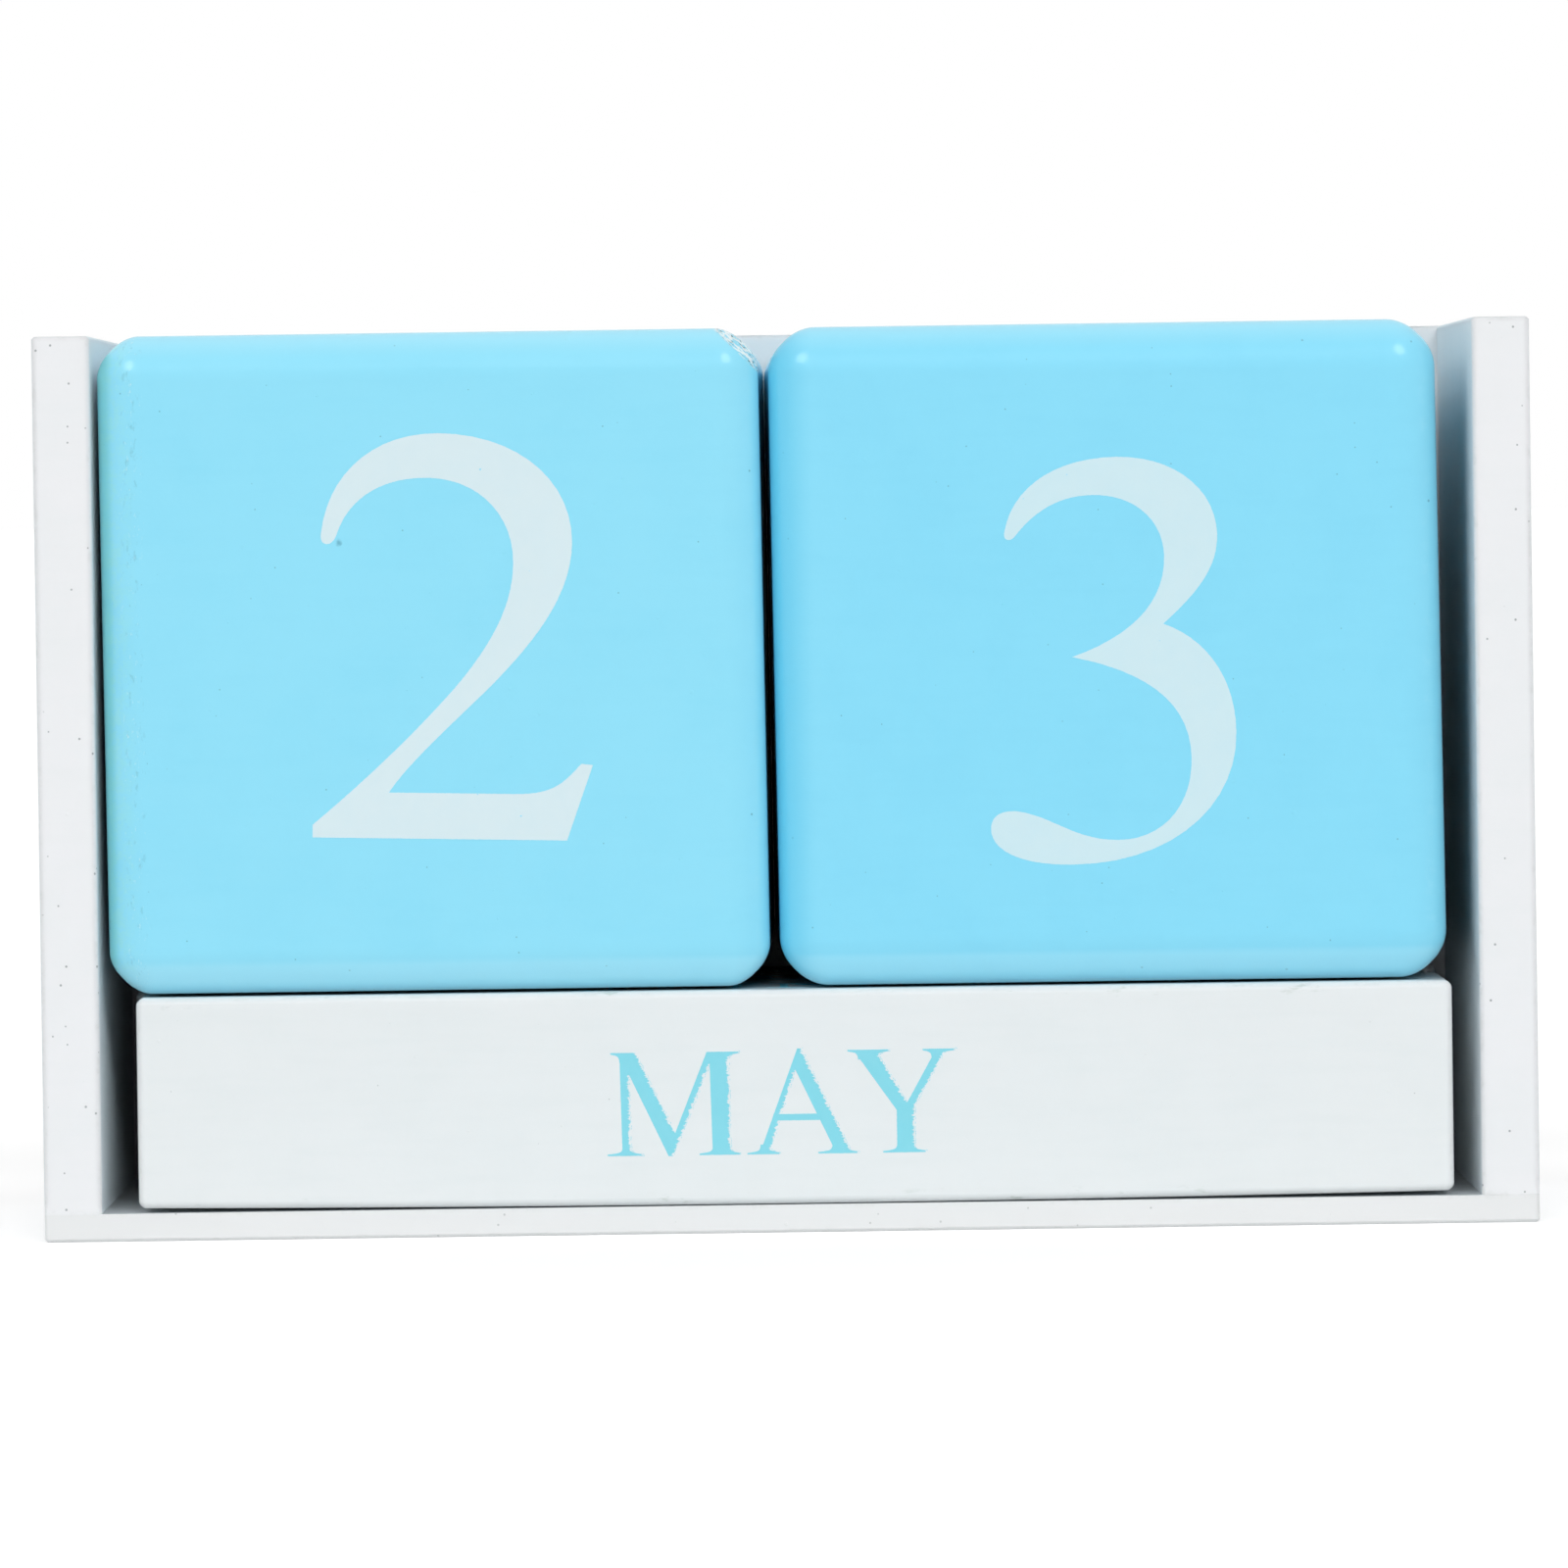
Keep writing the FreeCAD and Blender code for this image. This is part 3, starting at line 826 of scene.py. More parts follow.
NUMERAL_HEIGHT = 35.4
NUMERALS: dict[str, list[Shape]] = {
    "0": [
        trace("M 0 35.4 C -7 35.4 -11.3 28 -11.3 17.7 C -11.3 7.4 -7 0 0 0 C 7 0 11.3 7.4 11.3 17.7"
              " C 11.3 28 7 35.4 0 35.4"),
        trace("M 0 33.5 C 4.2 33.5 6.5 27 6.5 17.7 C 6.5 8.4 4.2 1.9 0 1.9 C -4.2 1.9 -6.5 8.4"
              " -6.5 17.7 C -6.5 27 -4.2 33.5 0 33.5", inked=False),
    ],
    "1": [
        trace("M -6.6 0 L 6.8 0 L 6.8 0.9 C 3.4 1.2 2.4 1.9 2.4 3.8 L 2.4 35.4 L 1.2 35.4"
              " C -0.8 33.5 -3.4 32.3 -6.6 31.6 L -6.6 30.6 C -3.6 30.9 -2.2 30.2 -2.2 27.8"
              " L -2.2 3.8 C -2.2 1.9 -3.2 1.2 -6.6 0.9"),
    ],
    "2": [
        trace("M -11.2 26.5 C -10.7 31.6 -6.8 35.4 -1 35.4 C 5.6 35.4 10.6 31.6 10.6 26"
              " C 10.6 21.6 7.6 17.6 4 13.8 C 1.2 10.9 -3.4 6.8 -5.2 4 L 5.8 4 C 9 4 9.9 4.9 11.5 6.7"
              " L 12.5 6.6 L 10.3 0 L -11.8 0 L -11.8 1.1 C -6.7 5.5 -2.7 9.5 0.5 13.2"
              " C 4 17.4 5.5 20.8 5.5 24.2 C 5.5 28.4 2.4 31.5 -2 31.5 C -6 31.5 -8.8 29.6 -9.8 26.6"
              " C -10.1 25.3 -11.4 25.3 -11.2 26.5"),
    ],
    "3": [
        trace("M -8.9 29.1 C -8.2 32.8 -4.6 35.5 0.9 35.5 C 5.8 35.5 9.4 32.6 9.4 28.6"
              " C 9.4 25.6 7.4 23.4 4.6 20.9 C 8.2 19.6 10.7 16.2 10.7 11.4 C 10.7 5 5 0 -3.6 0"
              " C -7.9 0 -10.6 1.2 -10.6 3.2 C -10.6 4.3 -9.7 4.9 -8.2 4.7 C -5.2 4.2 -3.4 2.1 0.4 2.1"
              " C 4.2 2.1 6.8 5 6.8 9.2 C 6.8 13.8 3.4 16.7 -3.3 18.1 C 2.2 20 4.8 23 4.8 26.8"
              " C 4.8 29.9 2.4 32.2 -1.2 32.2 C -4 32.2 -6.2 31 -8 28.7 C -8.5 28.1 -9.1 28.4 -8.9 29.1"),
    ],
    "4": [
        trace("M -12.2 8.6 L 2.4 8.6 L 2.4 3.6 C 2.4 1.8 1.4 1.2 -1.6 0.9 L -1.6 0 L 11 0 L 11 0.9"
              " C 8 1.2 7 1.8 7 3.6 L 7 8.6 L 11.8 8.6 L 11.8 11.3 L 7 11.3 L 7 35.4 L 4.8 35.4"
              " L -12.2 10.6"),
        trace("M -9 11.3 L 2.4 28 L 2.4 11.3", inked=False),
    ],
    "5": [
        trace("M -6.2 35 L 9.7 35 L 7.7 31.1 L -4.5 31.1 L -5.7 22.8 C -3.9 23.4 -1.9 23.7 0.3 23.7"
              " C 7 23.7 10.8 18.6 10.8 12.2 C 10.8 5 5.2 0 -3.6 0 C -7.9 0 -10.4 1.2 -10.4 3.2"
              " C -10.4 4.3 -9.5 4.9 -8 4.7 C -5.2 4.2 -3.4 2.1 0.2 2.1 C 4 2.1 6.6 5.6 6.6 10.8"
              " C 6.6 16.6 3.6 20.4 -1.4 20.4 C -4 20.4 -6.4 19.9 -8.6 19"),
    ],
    "6": [
        trace("M 8.4 35.2 C -3.4 32.4 -10.9 23.6 -10.9 12.6 C -10.9 4.6 -6.6 0 0 0"
              " C 6.6 0 10.9 4.6 10.9 11.3 C 10.9 17.8 7 22.3 1.4 22.3 C -1.6 22.3 -4.2 21.1 -6 19.2"
              " C -4.6 26.4 0.6 32 8.7 34.3"),
        trace("M -6.4 13 C -6.4 6 -4 1.9 0.2 1.9 C 4.2 1.9 6.3 5.4 6.3 11 C 6.3 16.4 4 19.8 0 19.8"
              " C -3.6 19.8 -6.4 17.2 -6.4 13", inked=False),
    ],
    "7": [
        trace("M -10.4 35 L 10.9 35 L 10.9 33.6 C 5.4 24 0.9 11.6 -1.5 0 L -6.4 0"
              " C -3.6 10.6 1.2 21 6.8 31 L -4.6 31 C -7.6 31 -8.8 30.2 -9.8 27.4 L -11 27.4"),
    ],
    "8": [
        trace("M 0 35.4 C -5.6 35.4 -9 32.2 -9 27.4 C -9 23.6 -7 21.2 -3.6 18.9"
              " C -8.2 16.9 -10.8 13.4 -10.8 9.2 C -10.8 3.6 -6.4 0 0 0 C 6.4 0 10.8 3.8 10.8 9.6"
              " C 10.8 14 8.2 17 3.4 19.7 C 7 21.8 8.8 24.4 8.8 27.8 C 8.8 32.4 5.4 35.4 0 35.4"),
        trace("M 0.2 33.8 C 3.2 33.8 5.2 31.4 5.2 27.6 C 5.2 24.8 4.2 22.6 2 20.8"
              " C -2.6 23.2 -5.2 25.2 -5.2 28.4 C -5.2 31.6 -3 33.8 0.2 33.8", inked=False),
        trace("M -2.2 18 C 3.2 14.8 6.4 12.2 6.4 7.8 C 6.4 4 4 1.7 0.2 1.7 C -4 1.7 -6.6 4.8 -6.6 9.6"
              " C -6.6 13.2 -5.2 15.8 -2.2 18", inked=False),
    ],
}

# Capitals, drawn as a sign painter builds them: legs, bowls and feet of a few widths.
CAPITAL_HEIGHT = 9.0
THICK = 1.52
HAIR = 0.56
FOOT_REACH = 1.1
FOOT_RISE = 0.85


def leg(foot: Point, head: Point, low: float = 0.0, high: float = CAPITAL_HEIGHT) -> Shape:
    """A straight stroke between the left and right side of its foot and those of its head."""
    return Shape(((foot[0], low), (foot[1], low), (head[1], high), (head[0], high)))


def post(left: float, right: float, low: float = 0.0, high: float = CAPITAL_HEIGHT) -> Shape:
    """A straight stroke with upright sides."""
    return leg((left, right), (left, right), low, high)


def bar(left: float, right: float, level: float) -> Shape:
    """A thin level bar whose lower side is at `level`."""
    return post(left, right, level, level + HAIR)


def serif(left: float, right: float, stroke: Point, level: float = 0.0, rise: float = FOOT_RISE) -> Shape:
    """A thin foot that flows into the stroke on it.

    Args:
        left: The foot's left tip.
        right: The foot's right tip.
        stroke: The stroke's left and right side where the foot ends.
        level: The level of the foot's flat side.
        rise: How far the foot runs up the stroke; under 0 for a foot on the stroke's head.

    Returns:
        The foot's outline.
    """
    tip_share, waist_share, flare = 0.16, 0.3, 0.2
    tip, waist, end = level + rise * tip_share, level + rise * waist_share, level + rise
    return trace(
        f"M {left} {level} L {right} {level} L {right} {tip}"
        f" C {stroke[1] + flare} {waist} {stroke[1]} {waist} {stroke[1]} {end} L {stroke[0]} {end}"
        f" C {stroke[0]} {waist} {stroke[0] - flare} {waist} {left} {tip}"
    )


def cap(left: float, right: float, stroke: Point) -> Shape:
    """The same foot turned over, on a stroke's head."""
    return serif(left, right, stroke, CAPITAL_HEIGHT, -FOOT_RISE)


def stem(left: float = 1.1, foot: bool = True, head: bool = True) -> list[Shape]:
    """An upright stroke with its feet.

    Args:
        left: The stroke's left side.
        foot: Whether it has a foot at the bottom.
        head: Whether it has one at the top.

    Returns:
        The outlines.
    """
    sides = (left, left + THICK)
    reach = (sides[0] - FOOT_REACH, sides[1] + FOOT_REACH)
    feet = [serif(*reach, sides)] if foot else []
    heads = [cap(*reach, sides)] if head else []
    return [post(*sides), *feet, *heads]


def oval(middle: Point, half: Point, inked: bool = True) -> Shape:
    """An upright oval.

    Args:
        middle: Its centre.
        half: Half its width and half its height.
        inked: Whether it lays ink or takes it away.

    Returns:
        The outline.
    """
    count = 72
    turns = [math.tau * step / count for step in range(count)]
    return Shape(tuple((middle[0] + half[0] * math.cos(t), middle[1] + half[1] * math.sin(t))
                       for t in turns), inked)


def bowl(left: float, reach: float, low: float, high: float) -> list[Shape]:
    """A bowl that stands out to the right of a stem: thick at its side, thin where it meets the stem.

    Args:
        left: Where it leaves the stem.
        reach: How far it stands out.
        low: The level of its bottom.
        high: The level of its top.

    Returns:
        The outer outline, which lays ink, and the inner one, which takes it away.
    """
    made = []
    thin, bent, ease = HAIR * 0.75, 0.45, 0.35  # the thin ends, where the bend starts, and how full it is
    for out, bottom, top, inked in (
        (left + reach, low, high, True),
        (left + reach - THICK, low + thin, high - thin, False),
    ):
        bend, middle = left + (out - left) * bent, (bottom + top) / 2
        made.append(trace(
            f"M {left} {bottom} L {bend} {bottom}"
            f" C {out - ease} {bottom} {out} {bottom + (middle - bottom) * bent} {out} {middle}"
            f" C {out} {top - (top - middle) * bent} {out - ease} {top} {bend} {top}"
            f" L {left} {top}", inked))
    return made


def bowled(*bowls: list[Shape]) -> list[Shape]:
    """A stem with bowls, inked once more where a bowl's hollow cut into it."""
    return stem() + [shape for pair in bowls for shape in pair] + [post(1.1, 2.5)]


def arm(left: float, right: float, level: float, tip: float) -> Shape:
    """A thin level arm whose tip is drawn out up or down.

    Args:
        left: Where it leaves the stem.
        right: Where it ends.
        level: Its outer side, the upper one if `tip` is under 0.
        tip: How far the tip stands out, up if over 0.

    Returns:
        The outline.
    """
    inner = level + math.copysign(HAIR * 0.8, tip)
    return trace(f"M {left} {level} L {right} {level} L {right + 0.25} {level + tip}"
                 f" L {right} {level + tip} C {right - 0.2} {inner + tip * 0.3} {right - 0.8} {inner}"
                 f" {right - 1.6} {inner} L {left} {inner}")


MIDDLE = CAPITAL_HEIGHT / 2
ROUND = (4.6, MIDDLE + 0.12)  # half width and half height of the round letters
HOLLOW = (ROUND[0] - THICK, ROUND[1] - HAIR * 0.7)
HORN = trace("M 8.3 9 L 8.3 6 L 8 6 L 6.8 8.2")  # the upper tip of C and G
CAPITALS: dict[str, tuple[float, list[Shape]]] = {
    "A": (9.72, [leg((1.06, 1.9), (4.45, 4.86), high=9.2),
                 Shape(((7.75, 0), (9.1, 0), (4.78, 9.2), (4.5, 9.2), (4.0, 7.9))),
                 bar(2.3, 6.8, 2.93), serif(0, 2.87, (1.15, 1.98)), serif(6.17, 9.72, (7.4, 8.7))]),
    "B": (7.9, bowled(bowl(2.3, 4.0, 4.4, 9.0), bowl(2.3, 4.7, 0, 4.9))),
    "C": (8.9, [oval((4.8, MIDDLE), ROUND), oval((5.1, MIDDLE), HOLLOW, False),
                Shape(((7.0, 2.2), (10, 1.6), (10, 6.9), (7.0, 6.6)), False), HORN,
                trace("M 8.4 2.3 L 8.7 1.9 L 7.2 0.5 L 6.8 0.9")]),
    "D": (9.9, bowled(bowl(1.6, 7.6, 0, 9.0))),
    "E": (8.0, stem(head=False) + [arm(2.2, 6.9, 9.0, -1.9), arm(2.2, 7.4, 0, 2.2), bar(2.2, 5.5, 4.4),
                                   post(5.4, 5.65, 3.7, 5.6), cap(0, 2.5, (1.1, 2.5))]),
    "F": (7.4, stem(head=False) + [arm(2.2, 6.7, 9.0, -2.0), bar(2.2, 5.4, 4.2),
                                   post(5.3, 5.55, 3.5, 5.4), cap(0, 2.5, (1.1, 2.5))]),
    "G": (9.8, [oval((4.8, MIDDLE), ROUND), oval((5.1, MIDDLE), HOLLOW, False),
                Shape(((7.0, 3.9), (10, 3.9), (10, 6.9), (7.0, 6.6)), False), HORN,
                post(7.3, 8.7, 1.0, 3.9), serif(6.2, 9.8, (7.3, 8.7), 4.1, -0.7)]),
    "H": (10.4, stem() + stem(7.9) + [bar(2.4, 8.0, 4.4)]),
    "I": (3.7, stem()),
    "J": (5.3, stem(2.6, foot=False) + [
        trace("M 2.9 1.5 L 4.12 1.5 L 4.12 0 C 4.1 -1.2 2.7 -2 0.6 -2 C -0.3 -2 -0.7 -1.6 -0.7 -1.1"
              " C -0.7 -0.4 0.2 -0.3 0.9 -0.7 C 1.9 -1.2 2.7 -0.8 2.75 1.2")]),
    "L": (7.7, stem() + [arm(2.2, 7.0, 0, 2.2)]),
    "M": (11.65, [leg((1.3, 2.06), (1.14, 1.94)), leg((9.15, 10.74), (8.95, 10.62)),
                  Shape(((1.06, 9), (2.55, 9), (5.9, 1.95), (8.72, 9), (9.4, 9), (5.72, -0.05),
                         (5.3, -0.05))),
                  serif(0, 3.15, (1.3, 2.06)), serif(8.0, 11.65, (9.15, 10.74)),
                  cap(0.36, 2.6, (1.12, 2.5)), cap(9.0, 11.55, (8.95, 10.62))]),
    "N": (10.4, [post(1.3, 2.0), leg((7.9, 8.9), (1.1, 2.7)), post(8.2, 8.9), serif(0, 3.3, (1.3, 2.0)),
                 cap(0.3, 2.7, (1.3, 2.4)), cap(6.9, 10.2, (8.2, 8.9))]),
    "O": (9.6, [oval((4.8, MIDDLE), ROUND), oval((4.8, MIDDLE), HOLLOW, False)]),
    "P": (7.6, bowled(bowl(2.3, 4.7, 3.9, 9.0))),
    "R": (9.0, bowled(bowl(2.3, 4.5, 4.3, 9.0))
          + [leg((7.0, 8.6), (3.6, 5.2), high=4.7), serif(6.6, 9.4, (6.9, 8.2))]),
    "S": (6.9, [trace("M 0.6 3 L 0.9 3 C 1.2 1.2 2.1 0.3 3.4 0.3 C 4.5 0.3 5.1 0.9 5.1 1.8"
                      " C 5.1 3 4.3 3.4 3.1 4 C 1.6 4.7 0.7 5.4 0.7 6.8 C 0.7 8.2 1.8 9.1 3.4 9.1"
                      " C 4.2 9.1 4.8 8.8 5.2 8.8 C 5.4 8.8 5.5 8.9 5.6 9.1 L 5.9 9.1 L 6 6.2 L 5.7 6.2"
                      " C 5.3 7.9 4.6 8.7 3.5 8.7 C 2.6 8.7 2 8.2 2 7.4 C 2 6.5 2.7 6 3.9 5.4"
                      " C 5.4 4.7 6.4 4 6.4 2.4 C 6.4 0.9 5.2 -0.1 3.5 -0.1 C 2.5 -0.1 1.8 0.3 1.3 0.3"
                      " C 1.1 0.3 1 0.2 0.9 -0.1 L 0.6 -0.1")]),
    "T": (8.4, stem(3.5, head=False) + [
        arm(3.6, 7.9, 9.0, -2.0),
        trace("M 4.8 9 L 0.5 9 L 0.25 7 L 0.5 7 C 0.7 8.2 1.3 8.55 2.1 8.55 L 4.8 8.55")]),
    "U": (10.0, [post(1.1, 2.5, 3.2), post(7.7, 8.42, 3.2),
                 trace("M 1.1 3.3 C 1.1 0.8 2.4 -0.12 4.9 -0.12 C 7.2 -0.12 8.42 1 8.42 3.3 L 7.7 3.3"
                       " C 7.7 1.3 6.9 0.4 5.2 0.4 C 3.3 0.4 2.5 1.3 2.5 3.3"),
                 cap(0, 3.6, (1.1, 2.5)), cap(6.6, 9.6, (7.7, 8.42))]),
    "V": (9.4, [leg((4.6, 5.3), (1.1, 2.7)), leg((4.6, 5.1), (7.5, 8.2)),
                cap(0, 3.7, (1.3, 2.9)), cap(6.4, 9.4, (7.3, 8.0))]),
    "Y": (9.43, [post(4.21, 5.8, high=4.4), leg((4.21, 5.55), (0.5, 2.4), 3.7),
                 leg((5.0, 5.8), (7.72, 8.58), 4.1), serif(2.98, 6.77, (4.21, 5.74)),
                 cap(0, 3.66, (0.9, 2.7)), cap(6.53, 9.43, (7.3, 8.2))]),
}
LETTER_GAP = 0.5
TIGHT_PAIRS: dict[str, float] = {"AY": -1.4, "RY": -0.6, "OV": -0.4}


def set_word(word: str) -> list[list[Shape]]:
    """Set a word in capitals.

    Args:
        word: The word, in capital letters.

    Returns:
        Each letter's outlines, with the word's middle at 0.
    """
    letters, across = [], 0.0
    for before, letter in zip(" " + word, word):
        width, shapes = CAPITALS[letter]
        across += TIGHT_PAIRS.get(before + letter, 0.0)
        letters.append([shape.moved(across) for shape in shapes])
        across += width + LETTER_GAP
    middle = (across - LETTER_GAP) / 2
    return [[shape.moved(-middle, -CAPITAL_HEIGHT / 2) for shape in shapes] for shapes in letters]


# ---------------------------------------------------------------- printing
Loop = list[Vector]
Corners = list[tuple[int, ...]]  # the numbers of the points of each triangle, or of each side


def fill(shapes: list[Shape]) -> tuple[list[Vector], Corners]:
    """Triangles that cover the ink of several outlines laid over each other.

    Args:
        shapes: The outlines, in the order in which they were laid.

    Returns:
        The points, and the triangles that are inked.
    """
    points: list[Vector] = []
    outlines: list[list[int]] = []
    for shape in shapes:
        loop = [Vector(p) for p in shape.outline]
        area = sum(a.cross(b) for a, b in zip(loop, loop[1:] + loop[:1]))
        start = len(points)
        points += loop if area > 0 else loop[::-1]
        outlines.append(list(range(start, len(points))))
    inside_only, tolerance = 1, 1e-5
    made = delaunay_2d_cdt(points, [], outlines, inside_only, tolerance)
    spots, triangles, sources = made[0], made[2], made[5]  # sources: the outlines round each triangle
    kept = [tuple(t) for t, ids in zip(triangles, sources) if ids and shapes[max(ids)].inked]
    return list(spots), kept


def open_sides(triangles: Corners) -> Corners:
    """The sides that only one triangle has, in the order of their points' numbers."""
    sides = {(t[i], t[(i + 1) % len(t)]) for t in triangles for i in range(len(t))}
    return [side for side in sorted(sides) if side[::-1] not in sides]


def rims(spots: list[Vector], triangles: Corners) -> list[Loop]:
    """The closed edges of a filled area.

    Args:
        spots: The area's points.
        triangles: Its triangles, turned anticlockwise.

    Returns:
        Loops that keep the ink on their left.
    """
    onward: dict[int, list[int]] = {}
    for start, end in open_sides(triangles):
        onward.setdefault(start, []).append(end)
    loops = []
    while onward:
        loop, here = [], min(onward)
        while here in onward:
            loop.append(spots[here])
            following = onward[here].pop()
            if not onward[here]:
                del onward[here]
            here = following
        loops.append(loop)
    return loops


def divide(loop: Loop, step: float) -> tuple[Loop, Loop]:
    """Divide a loop finely.

    Args:
        loop: The loop, with the ink on its left.
        step: How far apart the new points may lie.

    Returns:
        The finer loop, and the unit normal at each of its points, away from the ink.
    """
    dense: Loop = []
    for start, end in zip(loop, loop[1:] + loop[:1]):
        pieces = max(1, math.ceil((end - start).length / step))
        dense += [start.lerp(end, i / pieces) for i in range(pieces)]
    along = [after - before for before, after in zip(dense[-1:] + dense[:-1], dense[1:] + dense[:1])]
    return dense, [Vector((a.y, -a.x)).normalized() if a.length else Vector((0, 0)) for a in along]


@dataclass
class Press:
    """Lays ink on a side of a block, its right-hand edges torn if the stamp is a worn one."""

    seed: int
    step: float = 0.12
    wander: float = 0.012
    tear: float = 0.0
    tear_gain: float = 1.6
    tear_drag: float = 0.2  # how much of a tear runs on to the next point
    torn_from: float = 0.25  # how far to the right a torn edge faces
    fleck_step: float = 0.2
    fleck_share: float = 0.6
    fleck_half_length: Span = (0.05, 0.12)
    fleck_half_width: Span = (0.012, 0.024)
    fleck_stray: Span = (-0.02, 0.09)
    least_covered: float = 0.7  # of the clean ink, or the letter is printed clean
    thickness: float = 0.01
    root: float = 0.005
    chance: random.Random = field(init=False)

    def __post_init__(self) -> None:
        """Start the press's own row of random numbers."""
        self.chance = random.Random(self.seed)

    def torn(self, loop: Loop) -> Shape:
        """A loop with a hand-printed edge.

        Args:
            loop: The clean loop, with the ink on its left.

        Returns:
            The outline with its points moved; an outer rim runs anticlockwise and lays ink.
        """
        pull, moved = 0.0, []
        for point, normal in zip(*divide(loop, self.step)):
            shift = normal * self.chance.uniform(-self.wander, self.wander)
            if self.tear:
                fresh = self.chance.random() ** 2 * self.tear
                pull = self.tear_drag * pull + (1 - self.tear_drag) * fresh * self.tear_gain
                if normal.x > self.torn_from:
                    shift -= Vector((pull * normal.x, 0.0))
            moved.append(tuple(point + shift))
        area = sum(a[0] * b[1] - a[1] * b[0] for a, b in zip(moved, moved[1:] + moved[:1]))
        return Shape(tuple(moved), area > 0)

    def flecks(self, loop: Loop) -> list[Shape]:
        """Slivers of ink that stayed on the true edge where the rest is torn away.

        Args:
            loop: The clean loop, with the ink on its left.

        Returns:
            The slivers' outlines.
        """
        made, draw = [], self.chance.uniform
        for point, normal in zip(*divide(loop, self.fleck_step)) if self.tear else ():
            if normal.x < self.torn_from or self.chance.random() > self.fleck_share:
                continue
            along = Vector((-normal.y, normal.x))
            half_length, half_width = draw(*self.fleck_half_length), draw(*self.fleck_half_width)
            centre = point + normal * draw(*self.fleck_stray)
            corners = ((-1, -1), (1, -0.6), (1, 0.5), (-1, 1))
            made.append(Shape(tuple(
                tuple(centre + normal * (a * half_width) + along * (b * half_length)) for a, b in corners
            )))
        return made

    def print_on(
        self, letters: Iterable[list[Shape]], box: Box, side: Side, shift: Point, turn: float = 0.0
    ) -> bmesh.types.BMesh:
        """Print letters on a block's side.

        Args:
            letters: Each letter's outlines, in millimetres round the print's middle.
            box: The block's corners.
            side: The side that is printed.
            shift: How far the print lies to the right of and above the side's middle.
            turn: How far it is turned anticlockwise, in degrees.

        Returns:
            A mesh of closed films of ink, in place, in metres.
        """
        face = box.middle + Vector(tuple(n * h for n, h in zip(side.normal, box.half)))
        stand = Matrix((side.reading, side.upright, side.normal)).transposed().to_4x4()
        place = (Matrix.Translation(face) @ stand @ Matrix.Scale(MM, 4)
                 @ Matrix.Translation((*shift, 0)) @ Matrix.Rotation(math.radians(turn), 4, "Z"))
        film = bmesh.new()
        for shapes in letters:
            drawn = fill(shapes)
            clean = rims(*drawn)
            torn = sorted((self.torn(loop) for loop in clean), key=lambda shape: not shape.inked)
            slivers = [sliver for loop in clean for sliver in self.flecks(loop)]
            pressed = fill(torn + slivers)
            whole = self.covered(*pressed) > self.least_covered * self.covered(*drawn)
            self.add_film(film, *(pressed if whole else drawn), place)
        return film

    @staticmethod
    def covered(spots: list[Vector], triangles: Corners) -> float:
        """Twice the area that triangles cover."""
        corners = ([spots[i] for i in triangle] for triangle in triangles)
        return sum(abs((b - a).cross(c - a)) for a, b, c in corners)

    def add_film(
        self, film: bmesh.types.BMesh, spots: list[Vector], triangles: Corners, place: Matrix
    ) -> None:
        """Add one closed film of ink to a mesh.

        Args:
            film: The mesh that grows.
            spots: The filled area's points, in millimetres.
            triangles: Its triangles.
            place: Where the print lies.
        """
        top, under = ([film.verts.new(place @ Vector((*p, level))) for p in spots]
                      for level in (self.thickness, -self.root))
        for triangle in triangles:
            film.faces.new([top[i] for i in triangle])
            film.faces.new([under[i] for i in reversed(triangle)])
        for start, end in open_sides(triangles):
            film.faces.new([top[end], top[start], under[start], under[end]])
        loose = [v for v in film.verts if not v.link_faces]
        bmesh.ops.delete(film, geom=loose, context="VERTS")


# ---------------------------------------------------------------- pieces
def add_object(name: str, data: Optional[bpy.types.ID]) -> bpy.types.Object:
    """Put a new object into the scene and return it."""
    made = bpy.data.objects.new(name, data)
    bpy.context.scene.collection.objects.link(made)
    return made


def plain_mesh(name: str, built: bmesh.types.BMesh) -> bpy.types.Mesh:
    """Turn what was built into a plain mesh, and let go of it.

    Args:
        name: The mesh's name.
        built: The editable mesh.

    Returns:
        The plain mesh.
    """
    mesh = bpy.data.meshes.new(name)
    built.to_mesh(mesh)
    built.free()
    return mesh


@dataclass(frozen=True)
class Finish:
    """What a finished mesh needs to become a piece."""

    body: str
    slot: Slot
    material: bpy.types.Material

    def piece(self, name: str, mesh: Union[bmesh.types.BMesh, bpy.types.Mesh]) -> bpy.types.Object:
        """Make a finished mesh a piece that rides on a body.

        Args:
            name: The piece's name.
            mesh: Its mesh, in place.

        Returns:
            The piece.
        """
        data = plain_mesh(name, mesh) if isinstance(mesh, bmesh.types.BMesh) else mesh
        data.materials.clear()
        data.materials.append(self.material)
        piece = add_object(name, data)
        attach(piece, self.body)
        log.info("%s rides on %s", name, self.body)
        return piece


# ---------------------------------------------------------------- geometry nodes
@dataclass(frozen=True)
class Dust:
    """How many beads lie on a square metre, and how large they are, in millimetres."""

    density: float
    smallest: float
    largest: float
    flatness: float = 0.3


